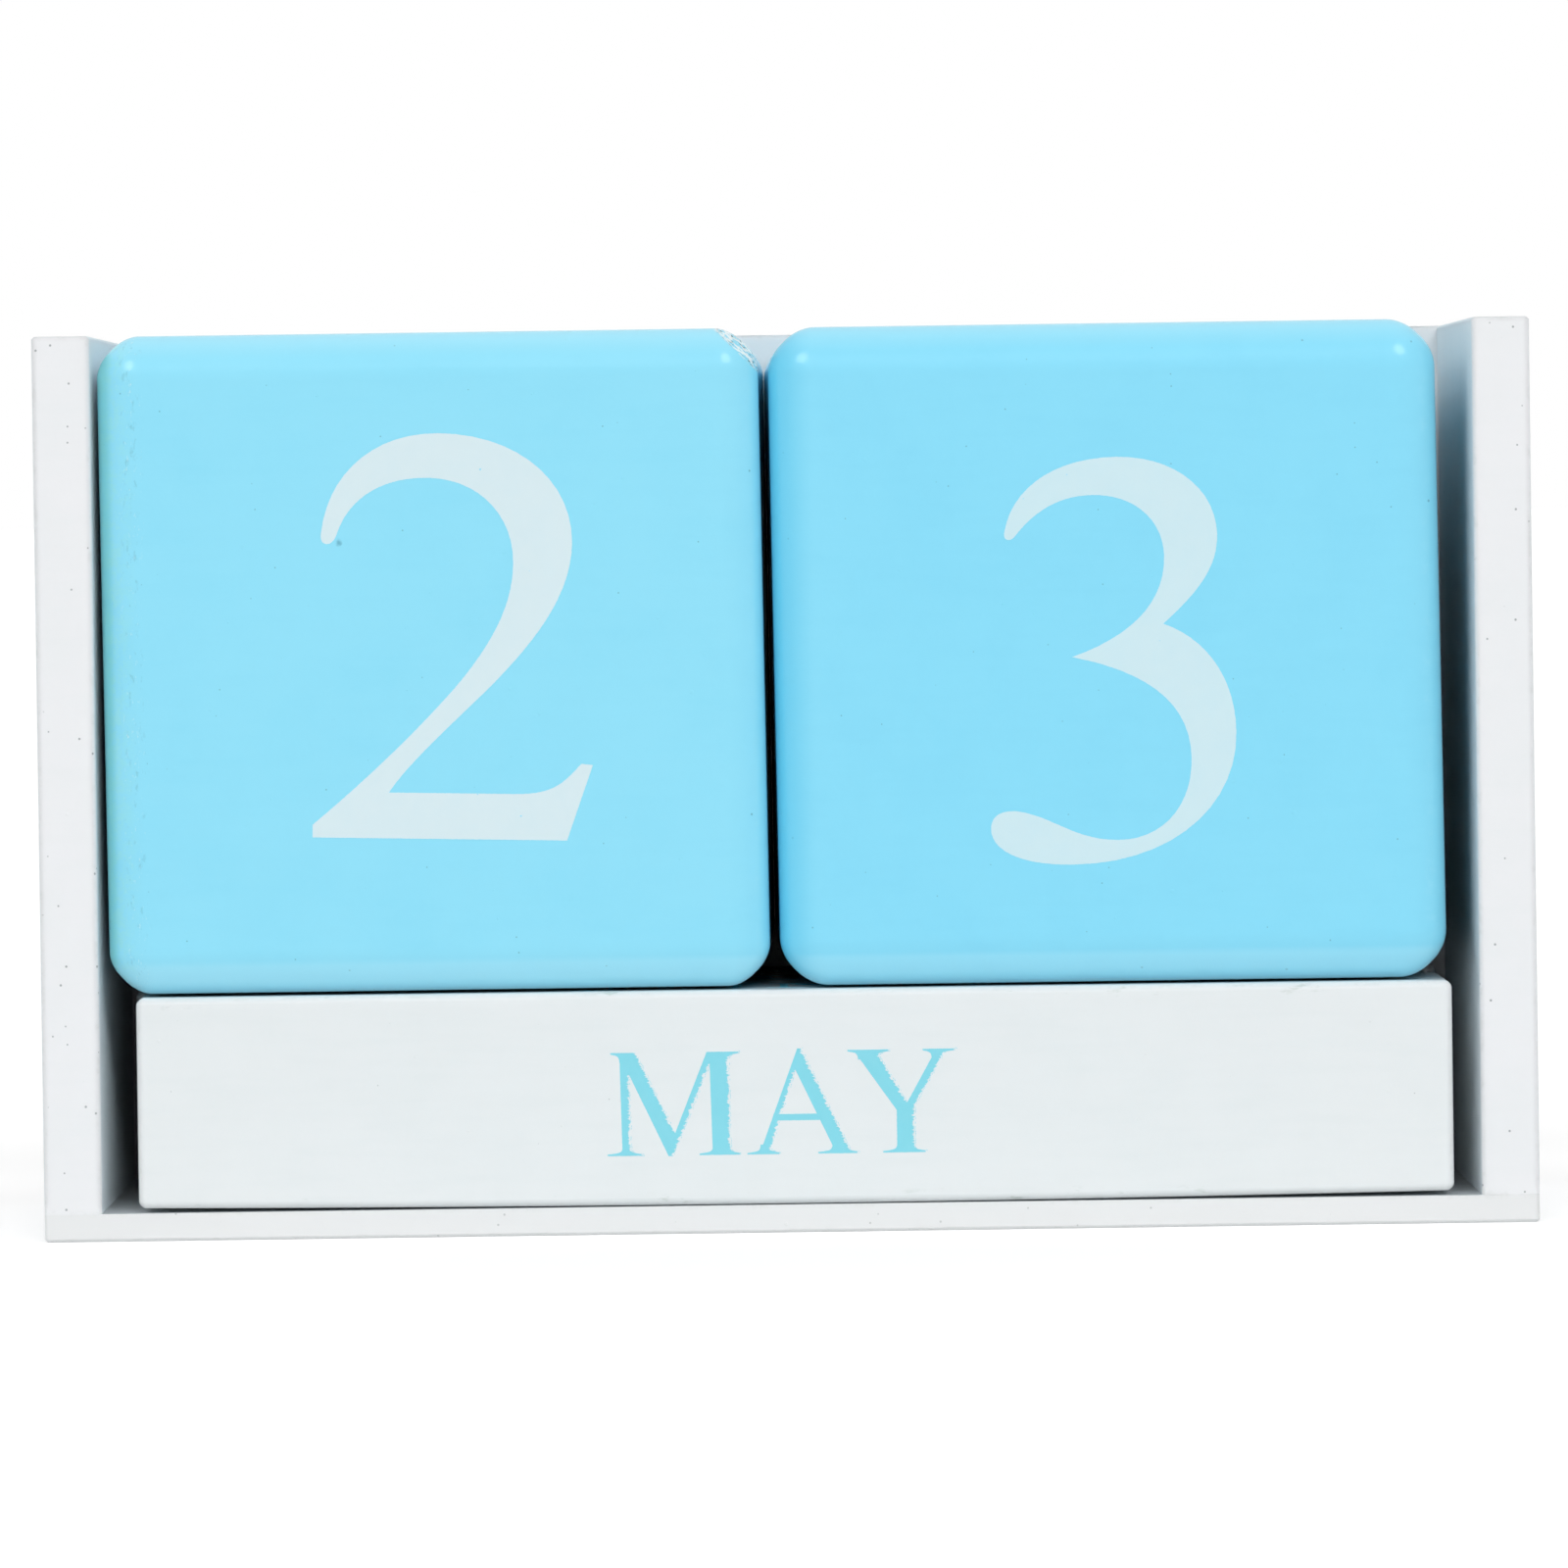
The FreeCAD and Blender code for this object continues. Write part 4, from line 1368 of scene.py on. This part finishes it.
class Strewing:
    """A tree that strews small flattened beads of paint over a surface."""

    NAME = "strewn_beads"
    SEGMENTS, RINGS = 8, 5
    INPUTS = {"Geometry": "Geometry", "Density": "Float", "Smallest": "Float", "Largest": "Float",
              "Flatness": "Float", "Seed": "Int", "Paint": "Material"}

    def __init__(self) -> None:
        """Build the tree once; every strewing uses it."""
        self.tree = bpy.data.node_groups.new(self.NAME, "GeometryNodeTree")
        face = self.tree.interface
        for name, kind in self.INPUTS.items():
            face.new_socket(name, in_out="INPUT", socket_type=f"NodeSocket{kind}")
        face.new_socket("Geometry", in_out="OUTPUT", socket_type="NodeSocketGeometry")
        wires = Wiring(self.tree)
        given = wires.node("NodeGroupInput").outputs
        spots = wires.node("GeometryNodeDistributePointsOnFaces", {
            "Mesh": given["Geometry"], "Density": given["Density"], "Seed": given["Seed"],
        })
        bead = wires.node("GeometryNodeMeshUVSphere", {
            "Segments": self.SEGMENTS, "Rings": self.RINGS, "Radius": 1.0,
        })
        shape = wires.node("ShaderNodeCombineXYZ", {"X": 1.0, "Y": 1.0, "Z": given["Flatness"]})
        flat = wires.node("GeometryNodeTransform", {
            "Geometry": bead.outputs["Mesh"], "Scale": shape.outputs[0],
        })
        size = wires.node("FunctionNodeRandomValue", data_type="FLOAT")
        limits = [s for s in size.inputs if s.identifier in ("Min_001", "Max_001", "Seed")]
        for socket, value in zip(limits, (given["Smallest"], given["Largest"], given["Seed"])):
            wires.feed(socket, value)
        drawn = next(s for s in size.outputs if s.identifier == "Value_001")
        beads = wires.node("GeometryNodeInstanceOnPoints", {
            "Points": spots.outputs["Points"], "Instance": flat.outputs[0],
            "Rotation": spots.outputs["Rotation"], "Scale": drawn,
        })
        whole = wires.node("GeometryNodeRealizeInstances", {"Geometry": beads.outputs[0]})
        painted = wires.node("GeometryNodeSetMaterial", {
            "Geometry": whole.outputs[0], "Material": given["Paint"],
        })
        smooth = wires.node("GeometryNodeSetShadeSmooth", {"Geometry": painted.outputs[0]})
        wires.node("NodeGroupOutput", {"Geometry": smooth.outputs[0]})

    def strew(
        self, name: str, surface: bpy.types.Mesh, dust: Dust, seed: int, finish: Finish
    ) -> bpy.types.Object:
        """Strew beads over a surface and keep them as one piece.

        Args:
            name: The piece's name.
            surface: The surface's mesh, in place; it is not kept.
            dust: How many beads there are, and how large.
            seed: The seed of their places and sizes.
            finish: The beads' finish.

        Returns:
            The piece.
        """
        carrier = add_object(f"{name}_surface", surface)
        modifier = carrier.modifiers.new("beads", "NODES")
        modifier.node_group = self.tree
        values = {"Density": dust.density, "Smallest": dust.smallest * MM, "Largest": dust.largest * MM,
                  "Flatness": dust.flatness, "Seed": seed, "Paint": finish.material}
        for item in self.tree.interface.items_tree:
            if item.in_out == "INPUT" and item.name in values:
                modifier[item.identifier] = values[item.name]
        carrier.update_tag()
        bpy.context.view_layer.update()
        evaluated = carrier.evaluated_get(bpy.context.evaluated_depsgraph_get())
        mesh = bpy.data.meshes.new_from_object(evaluated)
        carrier.modifiers.clear()
        bpy.data.objects.remove(carrier)
        return finish.piece(name, mesh)


def faces_towards(source: bpy.types.Mesh, side: Side) -> bpy.types.Mesh:
    """The flat faces of a mesh that look towards a side.

    Args:
        source: The mesh.
        side: The side that is wanted.

    Returns:
        A mesh of those faces, in place.
    """
    level = 0.9999
    copy = bmesh.new()
    copy.from_mesh(source)
    spare = [f for f in copy.faces if f.normal.dot(side.normal) < level]
    bmesh.ops.delete(copy, geom=spare, context="FACES")
    return plain_mesh(f"{source.name}_faces", copy)


# ---------------------------------------------------------------- rounded blocks
@dataclass(frozen=True)
class RoundedBlock:
    """A block with its edges sanded round by hand. Lengths are in millimetres."""

    rounding: float
    fullness: float = 2.0  # 2 is a true round, 1 a plain chamfer
    depth_share: float = 1.0  # how far the rounding runs back, as a share of its width in front
    lean: float = 0.0  # how far the top stands to the left of the foot, for each millimetre of height
    swell: float = 0.0  # how far the right side stands out
    lift: float = 0.0  # how far the underside is hollowed up
    bow: float = 0.0  # how far the two ends of the underside stand up
    slant: float = 0.0  # how far the back stands to the right of the front
    bends: int = 9
    flats: int = 12
    rim: float = 0.4
    unevenness: float = 0.12
    waves: tuple[tuple[float, float], ...] = ((0.5, 0.11), (0.35, 0.6))  # each wave's height and pitch

    @property
    def reach(self) -> Vector:
        """How far the rounding runs along each axis."""
        return Vector((self.rounding, self.rounding * self.depth_share, self.rounding))

    def stations(self, half: float, reach: float) -> list[float]:
        """Where the grid's lines cross a side.

        Args:
            half: Half the side's width.
            reach: How far the rounding runs into it.

        Returns:
            Distances from the side's middle; they crowd together where the edge bends.
        """
        flat, turns = half - reach, range(self.bends + 1)
        bend = [flat + reach * math.tan(math.radians(45 * i / self.bends)) for i in turns]
        level = [(flat - self.rim) * (2 * i / self.flats - 1) for i in range(self.flats + 1)]
        return [-b for b in reversed(bend)] + level + bend

    def rounded(self, spot: Vector, half: Vector) -> Vector:
        """Move a point of the sharp block onto the rounded one.

        Args:
            spot: The point, from the block's middle.
            half: Half the block's size.

        Returns:
            The point on the rounded block.
        """
        spans = list(zip(spot, half, self.reach))
        core = Vector([max(r - h, min(h - r, s)) for s, h, r in spans])
        away = Vector([(s - c) / r for (s, _, r), c in zip(spans, core)])
        length = sum(abs(a) ** self.fullness for a in away) ** (1 / self.fullness)
        # 0 on a flat side, 1 in the middle of a rounded edge
        edge = (1 - max(abs(a) for a in away) / away.length) / (1 - math.sqrt(0.5))
        grain = 0.5
        for height, pitch in self.waves:
            grain += height * noise.noise(spot * pitch)
        inward = self.unevenness * min(edge, 1.0) * max(grain, 0.0)
        share = (1 - inward / self.rounding) / length
        return core + Vector([a * r * share for a, r in zip(away, self.reach)])

    def settle(self, block: bmesh.types.BMesh, box: Box) -> bmesh.types.BMesh:
        """Give points on the block, or print on it, the block's own lean and swell.

        Args:
            block: The mesh, in metres.
            box: The block's corners.

        Returns:
            The same mesh.
        """
        middle, half = box.middle, box.half
        for vertex in block.verts:
            spot = vertex.co - middle
            vertex.co.x += (self.swell * MM * (1 + spot.x / half.x) / 2) - self.lean * spot.z
            vertex.co.x += self.slant * MM * (1 + spot.y / half.y) / 2
            raised = self.lift + self.bow * (spot.x / half.x) ** 2
            vertex.co.z += raised * MM * (1 - spot.z / half.z) / 2
        return block

    def build(self, box: Box) -> bmesh.types.BMesh:
        """Build the block between two corners.

        Args:
            box: The corners.

        Returns:
            A closed mesh, in metres.
        """
        middle, half = box.middle, box.half / MM
        block = bmesh.new()
        made: dict[tuple[int, ...], bmesh.types.BMVert] = {}
        for side in Side:
            columns, rows = (self.stations(abs(half.dot(axis)), abs(self.reach.dot(axis)))
                             for axis in (side.reading, side.upright))
            face = side.normal * abs(half.dot(side.normal))
            grid = []
            for across in columns:
                line = []
                for up in rows:
                    spot = side.reading * across + side.upright * up + face
                    key = tuple(round(c * 1e4) for c in spot)  # shared by the sides that meet here
                    if key not in made:
                        made[key] = block.verts.new(middle + self.rounded(spot, half) * MM)
                    line.append(made[key])
                grid.append(line)
            for left, right in zip(grid, grid[1:]):
                for i in range(len(rows) - 1):
                    block.faces.new((left[i], right[i], right[i + 1], left[i + 1])).smooth = True
        return self.settle(block, box)


# ---------------------------------------------------------------- sub-assemblies
@dataclass
class Tray:
    """Four painted boards with sunk pins, each pin's seat half filled with paint."""

    coat: TrayCoat
    boards: tuple[str, ...] = ("floor_board", "left_wall", "right_wall", "back_board")
    pins: tuple[str, ...] = ("floor_pins", "back_pins")
    seat_radius: float = 0.64
    fill_depth: float = 0.36  # from the board's face to the widest part of the paint
    fill_dome: float = 0.22
    fill_segments: int = 20
    fill_rings: int = 10
    welded: float = 1e-6  # how close points of a pin lie that are one, in metres
    body: str = "tray"

    def seats(self) -> list[tuple[Vector, Vector]]:
        """Find the sunk heads of the pins.

        Returns:
            Each head's middle on the board's face, in metres, and the way in which it faces.
        """
        seats = []
        for pins, side in zip(self.pins, (Side.BOTTOM, Side.BACK)):
            copy = bmesh.new()
            copy.from_mesh(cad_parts[pins].data)
            bmesh.ops.remove_doubles(copy, verts=copy.verts, dist=self.welded)
            board = PACKED_LOW if side is Side.BOTTOM else PACKED_HIGH
            left = set(copy.verts)
            while left:
                island, edge = set(), [left.pop()]
                while edge:
                    vertex = edge.pop()
                    island.add(vertex)
                    near = {e.other_vert(vertex) for e in vertex.link_edges} & left
                    left -= near
                    edge += near
                spans = zip(*(v.co for v in island))
                middle = [(min(span) + max(span)) / 2 for span in spans]
                axis = next(i for i, n in enumerate(side.normal) if n)
                middle[axis] = board[axis]
                seats.append((Vector(middle), side.normal))
            copy.free()
        return sorted(seats, key=lambda seat: tuple(seat[0]))

    def fill_seats(self, paint: bpy.types.Material) -> None:
        """Let a drop of paint into each pin's seat.

        Args:
            paint: The drops' material.
        """
        drops = bmesh.new()
        sizes = {"u_segments": self.fill_segments, "v_segments": self.fill_rings,
                 "radius": self.seat_radius * MM}
        squash = Matrix.Diagonal((1, 1, self.fill_dome / self.seat_radius, 1))
        for middle, facing in self.seats():
            turn = facing.to_track_quat("Z", "Y").to_matrix().to_4x4()
            sunk = Matrix.Translation(middle - facing * (self.fill_depth * MM)) @ turn @ squash
            bmesh.ops.create_uvsphere(drops, matrix=sunk, **sizes)
        drops.verts.index_update()
        count = len(drops.verts)
        # a sphere's faces are made in any order: sort them by the numbers of their points
        drops.faces.sort(key=lambda face: sum(
            number * count ** i for i, number in enumerate(sorted(v.index for v in face.verts))
        ))
        for face in drops.faces:
            face.smooth = True
        bmesh.ops.recalc_face_normals(drops, faces=drops.faces)
        Finish(self.body, Slot.TRAY, paint).piece("pin_seat_paint", drops)

    def build(self) -> None:
        """Paint the boards and the pins, and fill the pins' seats."""
        paints = {board: self.coat.build(board, Box(*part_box(board))) for board in self.boards}
        steel = PinSteel().build()
        for name, material in (paints | {pins: steel for pins in self.pins}).items():
            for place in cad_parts[name].material_slots:
                place.material = material
            log.info("painted %s", name)
        self.fill_seats(paints["back_board"])


@dataclass
class PrintedBlock:
    """A painted block with print on its sides and dust under the paint of its front."""

    place: str
    prints: Iterable[str]
    seed: int
    shape: RoundedBlock
    slot: ClassVar[Slot]
    dust: ClassVar[Dust]
    node_name: ClassVar[str]
    body_name: ClassVar[str]
    dust_name: ClassVar[str]

    @property
    def node(self) -> str:
        """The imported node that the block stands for."""
        return self.node_name.format(self.place)

    @property
    def body(self) -> str:
        """The body that the block rides on."""
        return self.body_name.format(self.place)

    @property
    def box(self) -> Box:
        """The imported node's corners."""
        return Box(*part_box(self.node))

    def stamp(self, name: str, film: bmesh.types.BMesh, ink: bpy.types.Material) -> None:
        """Lay a film of ink over the block's own shape and keep it as a piece."""
        Finish(self.body, self.slot, ink).piece(name, self.shape.settle(film, self.box))

    def print_sides(self, ink: bpy.types.Material) -> None:
        """Print the block's sides; each kind of block has its own way."""
        raise NotImplementedError

    def build(self, coat: Coat, ink: bpy.types.Material, beads: Strewing) -> None:
        """Paint the block, print on it and leave dust under its paint.

        Args:
            coat: The block's paint.
            ink: The print's ink.
            beads: The tree that strews the dust.
        """
        finish = Finish(self.body, self.slot, coat.build(self.node, self.box))
        block = finish.piece(f"{self.body}_block", self.shape.build(self.box))
        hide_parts(self.node)
        self.print_sides(ink)
        front = faces_towards(block.data, Side.FRONT)
        beads.strew(self.dust_name.format(self.place), front, self.dust, self.seed, finish)


@dataclass
class MonthBar(PrintedBlock):
    """A square bar with a month's name on each long side."""

    shape: RoundedBlock = RoundedBlock(0.7, lift=0.05, bow=0.35, flats=24, unevenness=0.05)
    shift: Point = (-1.18, -0.5)
    sides: tuple[Side, ...] = (Side.FRONT, Side.TOP, Side.BACK, Side.BOTTOM)
    slot = Slot.BAR
    dust = Dust(9000.0, 0.04, 0.11)
    node_name, body_name, dust_name = "{}_month_bar", "{}_bar", "{}_bar_dust"

    def print_sides(self, ink: bpy.types.Material) -> None:
        """Stamp the four names.

        Args:
            ink: The ink's material.
        """
        press = Press(self.seed, step=0.06, tear=0.22)
        for side, month in zip(self.sides, self.prints):
            film = press.print_on(set_word(month), self.box, side, self.shift)
            self.stamp(f"{month.lower()}_print", film, ink)


@dataclass
class DayCube(PrintedBlock):
    """A cube with a numeral on each of its six sides."""

    front_shift: Point
    front_turn: float
    slot = Slot.CUBE
    dust = Dust(16000.0, 0.03, 0.1)
    node_name, body_name, dust_name = "{}_cube", "{}", "{}_cube_dust"

    def print_sides(self, ink: bpy.types.Material) -> None:
        """Print the six numerals; all but the front one lie a little off at random.

        Args:
            ink: The ink's material.
        """
        press = Press(self.seed)
        for side, numeral in zip(Side, self.prints):
            shift, turn = self.front_shift, self.front_turn
            if side is not Side.FRONT:
                shift = (press.chance.uniform(-1, 1), press.chance.uniform(-1, 1))
                turn = press.chance.uniform(-1, 1)
            shapes = [shape.moved(0.0, -NUMERAL_HEIGHT / 2) for shape in NUMERALS[numeral]]
            film = press.print_on([shapes], self.box, side, shift, turn)
            self.stamp(f"{self.place}_{side.name.lower()}_numeral_{numeral}", film, ink)


# ---------------------------------------------------------------- surroundings
@dataclass(frozen=True)
class LampPair:
    """Two soft lamps, one to either side of the front. Angles are in degrees."""

    name: str
    right: float
    left: float
    turn: float
    rise: float
    spread: float
    mirrored: bool = False  # whether gloss shows them

    def hang(self) -> None:
        """Hang both lamps so far away that they light floor and object evenly."""
        for side, strength, turn in (("right", self.right, self.turn), ("left", self.left, -self.turn)):
            name = f"{self.name}_{side}_lamp"
            lamp = bpy.data.lights.new(name, "SUN")
            lamp.energy = strength
            lamp.angle = math.radians(self.spread)
            hung = add_object(name, lamp)
            hung.visible_glossy = self.mirrored
            hung.matrix_world = (Matrix.Rotation(math.radians(turn), 4, "Z")
                                 @ Matrix.Rotation(math.radians(90 - self.rise), 4, "X")
                                 @ Matrix.Translation((0.0, 0.0, 1.0)))


@dataclass(frozen=True)
class Studio:
    """White surroundings, soft light from above and the viewpoint, all in metres."""

    floor_half: float = 40.0
    floor_drop: float = 2e-5
    floor_colour: Colour = (249, 249, 249)
    floor_glow: float = 0.26  # what the eye sees beyond the lit floor, to make it plain white
    sky_in_front: float = 0.12
    sky_behind: float = 0.8
    sky_turn: Span = (-0.2, 0.7)  # where the sky in front ends and the sky behind is whole
    lamps: tuple[LampPair, ...] = (
        LampPair("front", 0.6, 0.5, turn=9.0, rise=27.0, spread=16.0),
        LampPair("corner", 0.42, 0.4, turn=30.0, rise=32.0, spread=20.0, mirrored=True),
        LampPair("top", 0.42, 0.42, turn=70.0, rise=48.0, spread=20.0),
    )
    eye_place: Triple = (-0.0002, -1.13, 0.0637)
    eye_aim: Triple = (-0.0002, -0.03, 0.03898)
    eye_roll: float = -0.8
    lens: float = 290.85
    sensor: float = 36.0
    seen_from: float = 0.1
    seen_to: float = 100.0

    def lay_floor(self) -> None:
        """Lay the plain white floor that keeps the object's shadow."""
        sheet = bmesh.new()
        bmesh.ops.create_grid(sheet, x_segments=1, y_segments=1, size=self.floor_half)
        bmesh.ops.translate(sheet, verts=sheet.verts, vec=(0, 0, PACKED_LOW.z - self.floor_drop))
        paint = bpy.data.materials.new("white_floor")
        wires = Wiring.of(paint)
        matt = wires.node("ShaderNodeBsdfDiffuse", {"Color": linear(self.floor_colour)})
        seen = wires.node("ShaderNodeLightPath").outputs["Is Camera Ray"]
        strength = wires.times(seen, self.floor_glow)
        glow = wires.node("ShaderNodeEmission", {"Color": WHITE, "Strength": strength})
        both = wires.node("ShaderNodeAddShader", {0: matt.outputs[0], 1: glow.outputs[0]})
        wires.node("ShaderNodeOutputMaterial", {"Surface": both.outputs[0]})
        floor = add_object("floor", plain_mesh("floor", sheet))
        floor.data.materials.append(paint)

    def hang_sky(self) -> None:
        """Light everything softly, more from behind; the eye, gloss and glass see plain white."""
        world = bpy.data.worlds.new("soft_sky")
        bpy.context.scene.world = world
        wires = Wiring.of(world)
        path = wires.node("ShaderNodeLightPath").outputs
        seen = wires.plus(path["Is Camera Ray"], path["Is Glossy Ray"])
        seen = wires.math("ADD", seen, path["Is Transmission Ray"], clamp=True)
        white = wires.node("ShaderNodeBackground", {"Color": WHITE, "Strength": 1.0})
        _, behind, _ = wires.parts(wires.node("ShaderNodeTexCoord").outputs["Generated"])
        level = wires.node("ShaderNodeMapRange", {
            "Value": wires.rise(behind, *self.sky_turn),
            "To Min": self.sky_in_front, "To Max": self.sky_behind,
        }).outputs["Result"]
        light = wires.node("ShaderNodeBackground", {"Color": WHITE, "Strength": level})
        both = wires.node("ShaderNodeMixShader", {0: seen, 1: light.outputs[0], 2: white.outputs[0]})
        wires.node("ShaderNodeOutputWorld", {"Surface": both.outputs[0]})

    def set_camera(self) -> None:
        """Set the long-lensed camera square in front of the object, a little rolled."""
        camera = bpy.data.cameras.new("viewpoint")
        camera.sensor_width = self.sensor
        camera.lens = self.lens
        camera.clip_start, camera.clip_end = self.seen_from, self.seen_to
        eye = add_object("viewpoint", camera)
        place, aim = Vector(self.eye_place), Vector(self.eye_aim)
        eye.matrix_world = (Matrix.Translation(place)
                            @ (aim - place).to_track_quat("-Z", "Y").to_matrix().to_4x4()
                            @ Matrix.Rotation(math.radians(self.eye_roll), 4, "Z"))
        bpy.context.scene.camera = eye

    def build(self) -> None:
        """Set up the surroundings."""
        bpy.context.scene.view_settings.view_transform = "Standard"
        self.lay_floor()
        self.hang_sky()
        for pair in self.lamps:
            pair.hang()
        self.set_camera()
        log.info("studio is set")


def main() -> None:
    """Build the looks of the whole calendar."""
    logging.basicConfig(level=logging.INFO, format="%(name)s: %(message)s")
    Studio().build()
    beads = Strewing()
    month_ink = MONTH_INK.build()
    Tray(TRAY_COAT).build()
    bars = (
        MonthBar("front", ("MAY", "JUNE", "JULY", "AUGUST"), seed=5),
        MonthBar("middle", ("JANUARY", "FEBRUARY", "MARCH", "APRIL"), seed=6),
        MonthBar("rear", ("SEPTEMBER", "OCTOBER", "NOVEMBER", "DECEMBER"), seed=7),
    )
    for month_bar in bars:
        month_bar.build(BAR_COAT, month_ink, beads)
    tens_shape = RoundedBlock(3.6, 1.7, depth_share=0.62, lean=0.007, lift=0.27, slant=0.4)
    tens = DayCube("tens", "201678", 11, tens_shape, front_shift=(1.5, 2.2), front_turn=-1.5)
    tens.build(TENS_COAT, TENS_INK.build(), beads)
    units_shape = RoundedBlock(4.1, 1.85, depth_share=0.62, lean=0.008, swell=0.5, lift=0.22,
                               slant=-0.45)
    units = DayCube("units", "301245", 12, units_shape, front_shift=(0.2, -0.75), front_turn=0.0)
    units.build(UNITS_COAT, UNITS_INK.build(), beads)


if __name__ == "__main__":
    main()
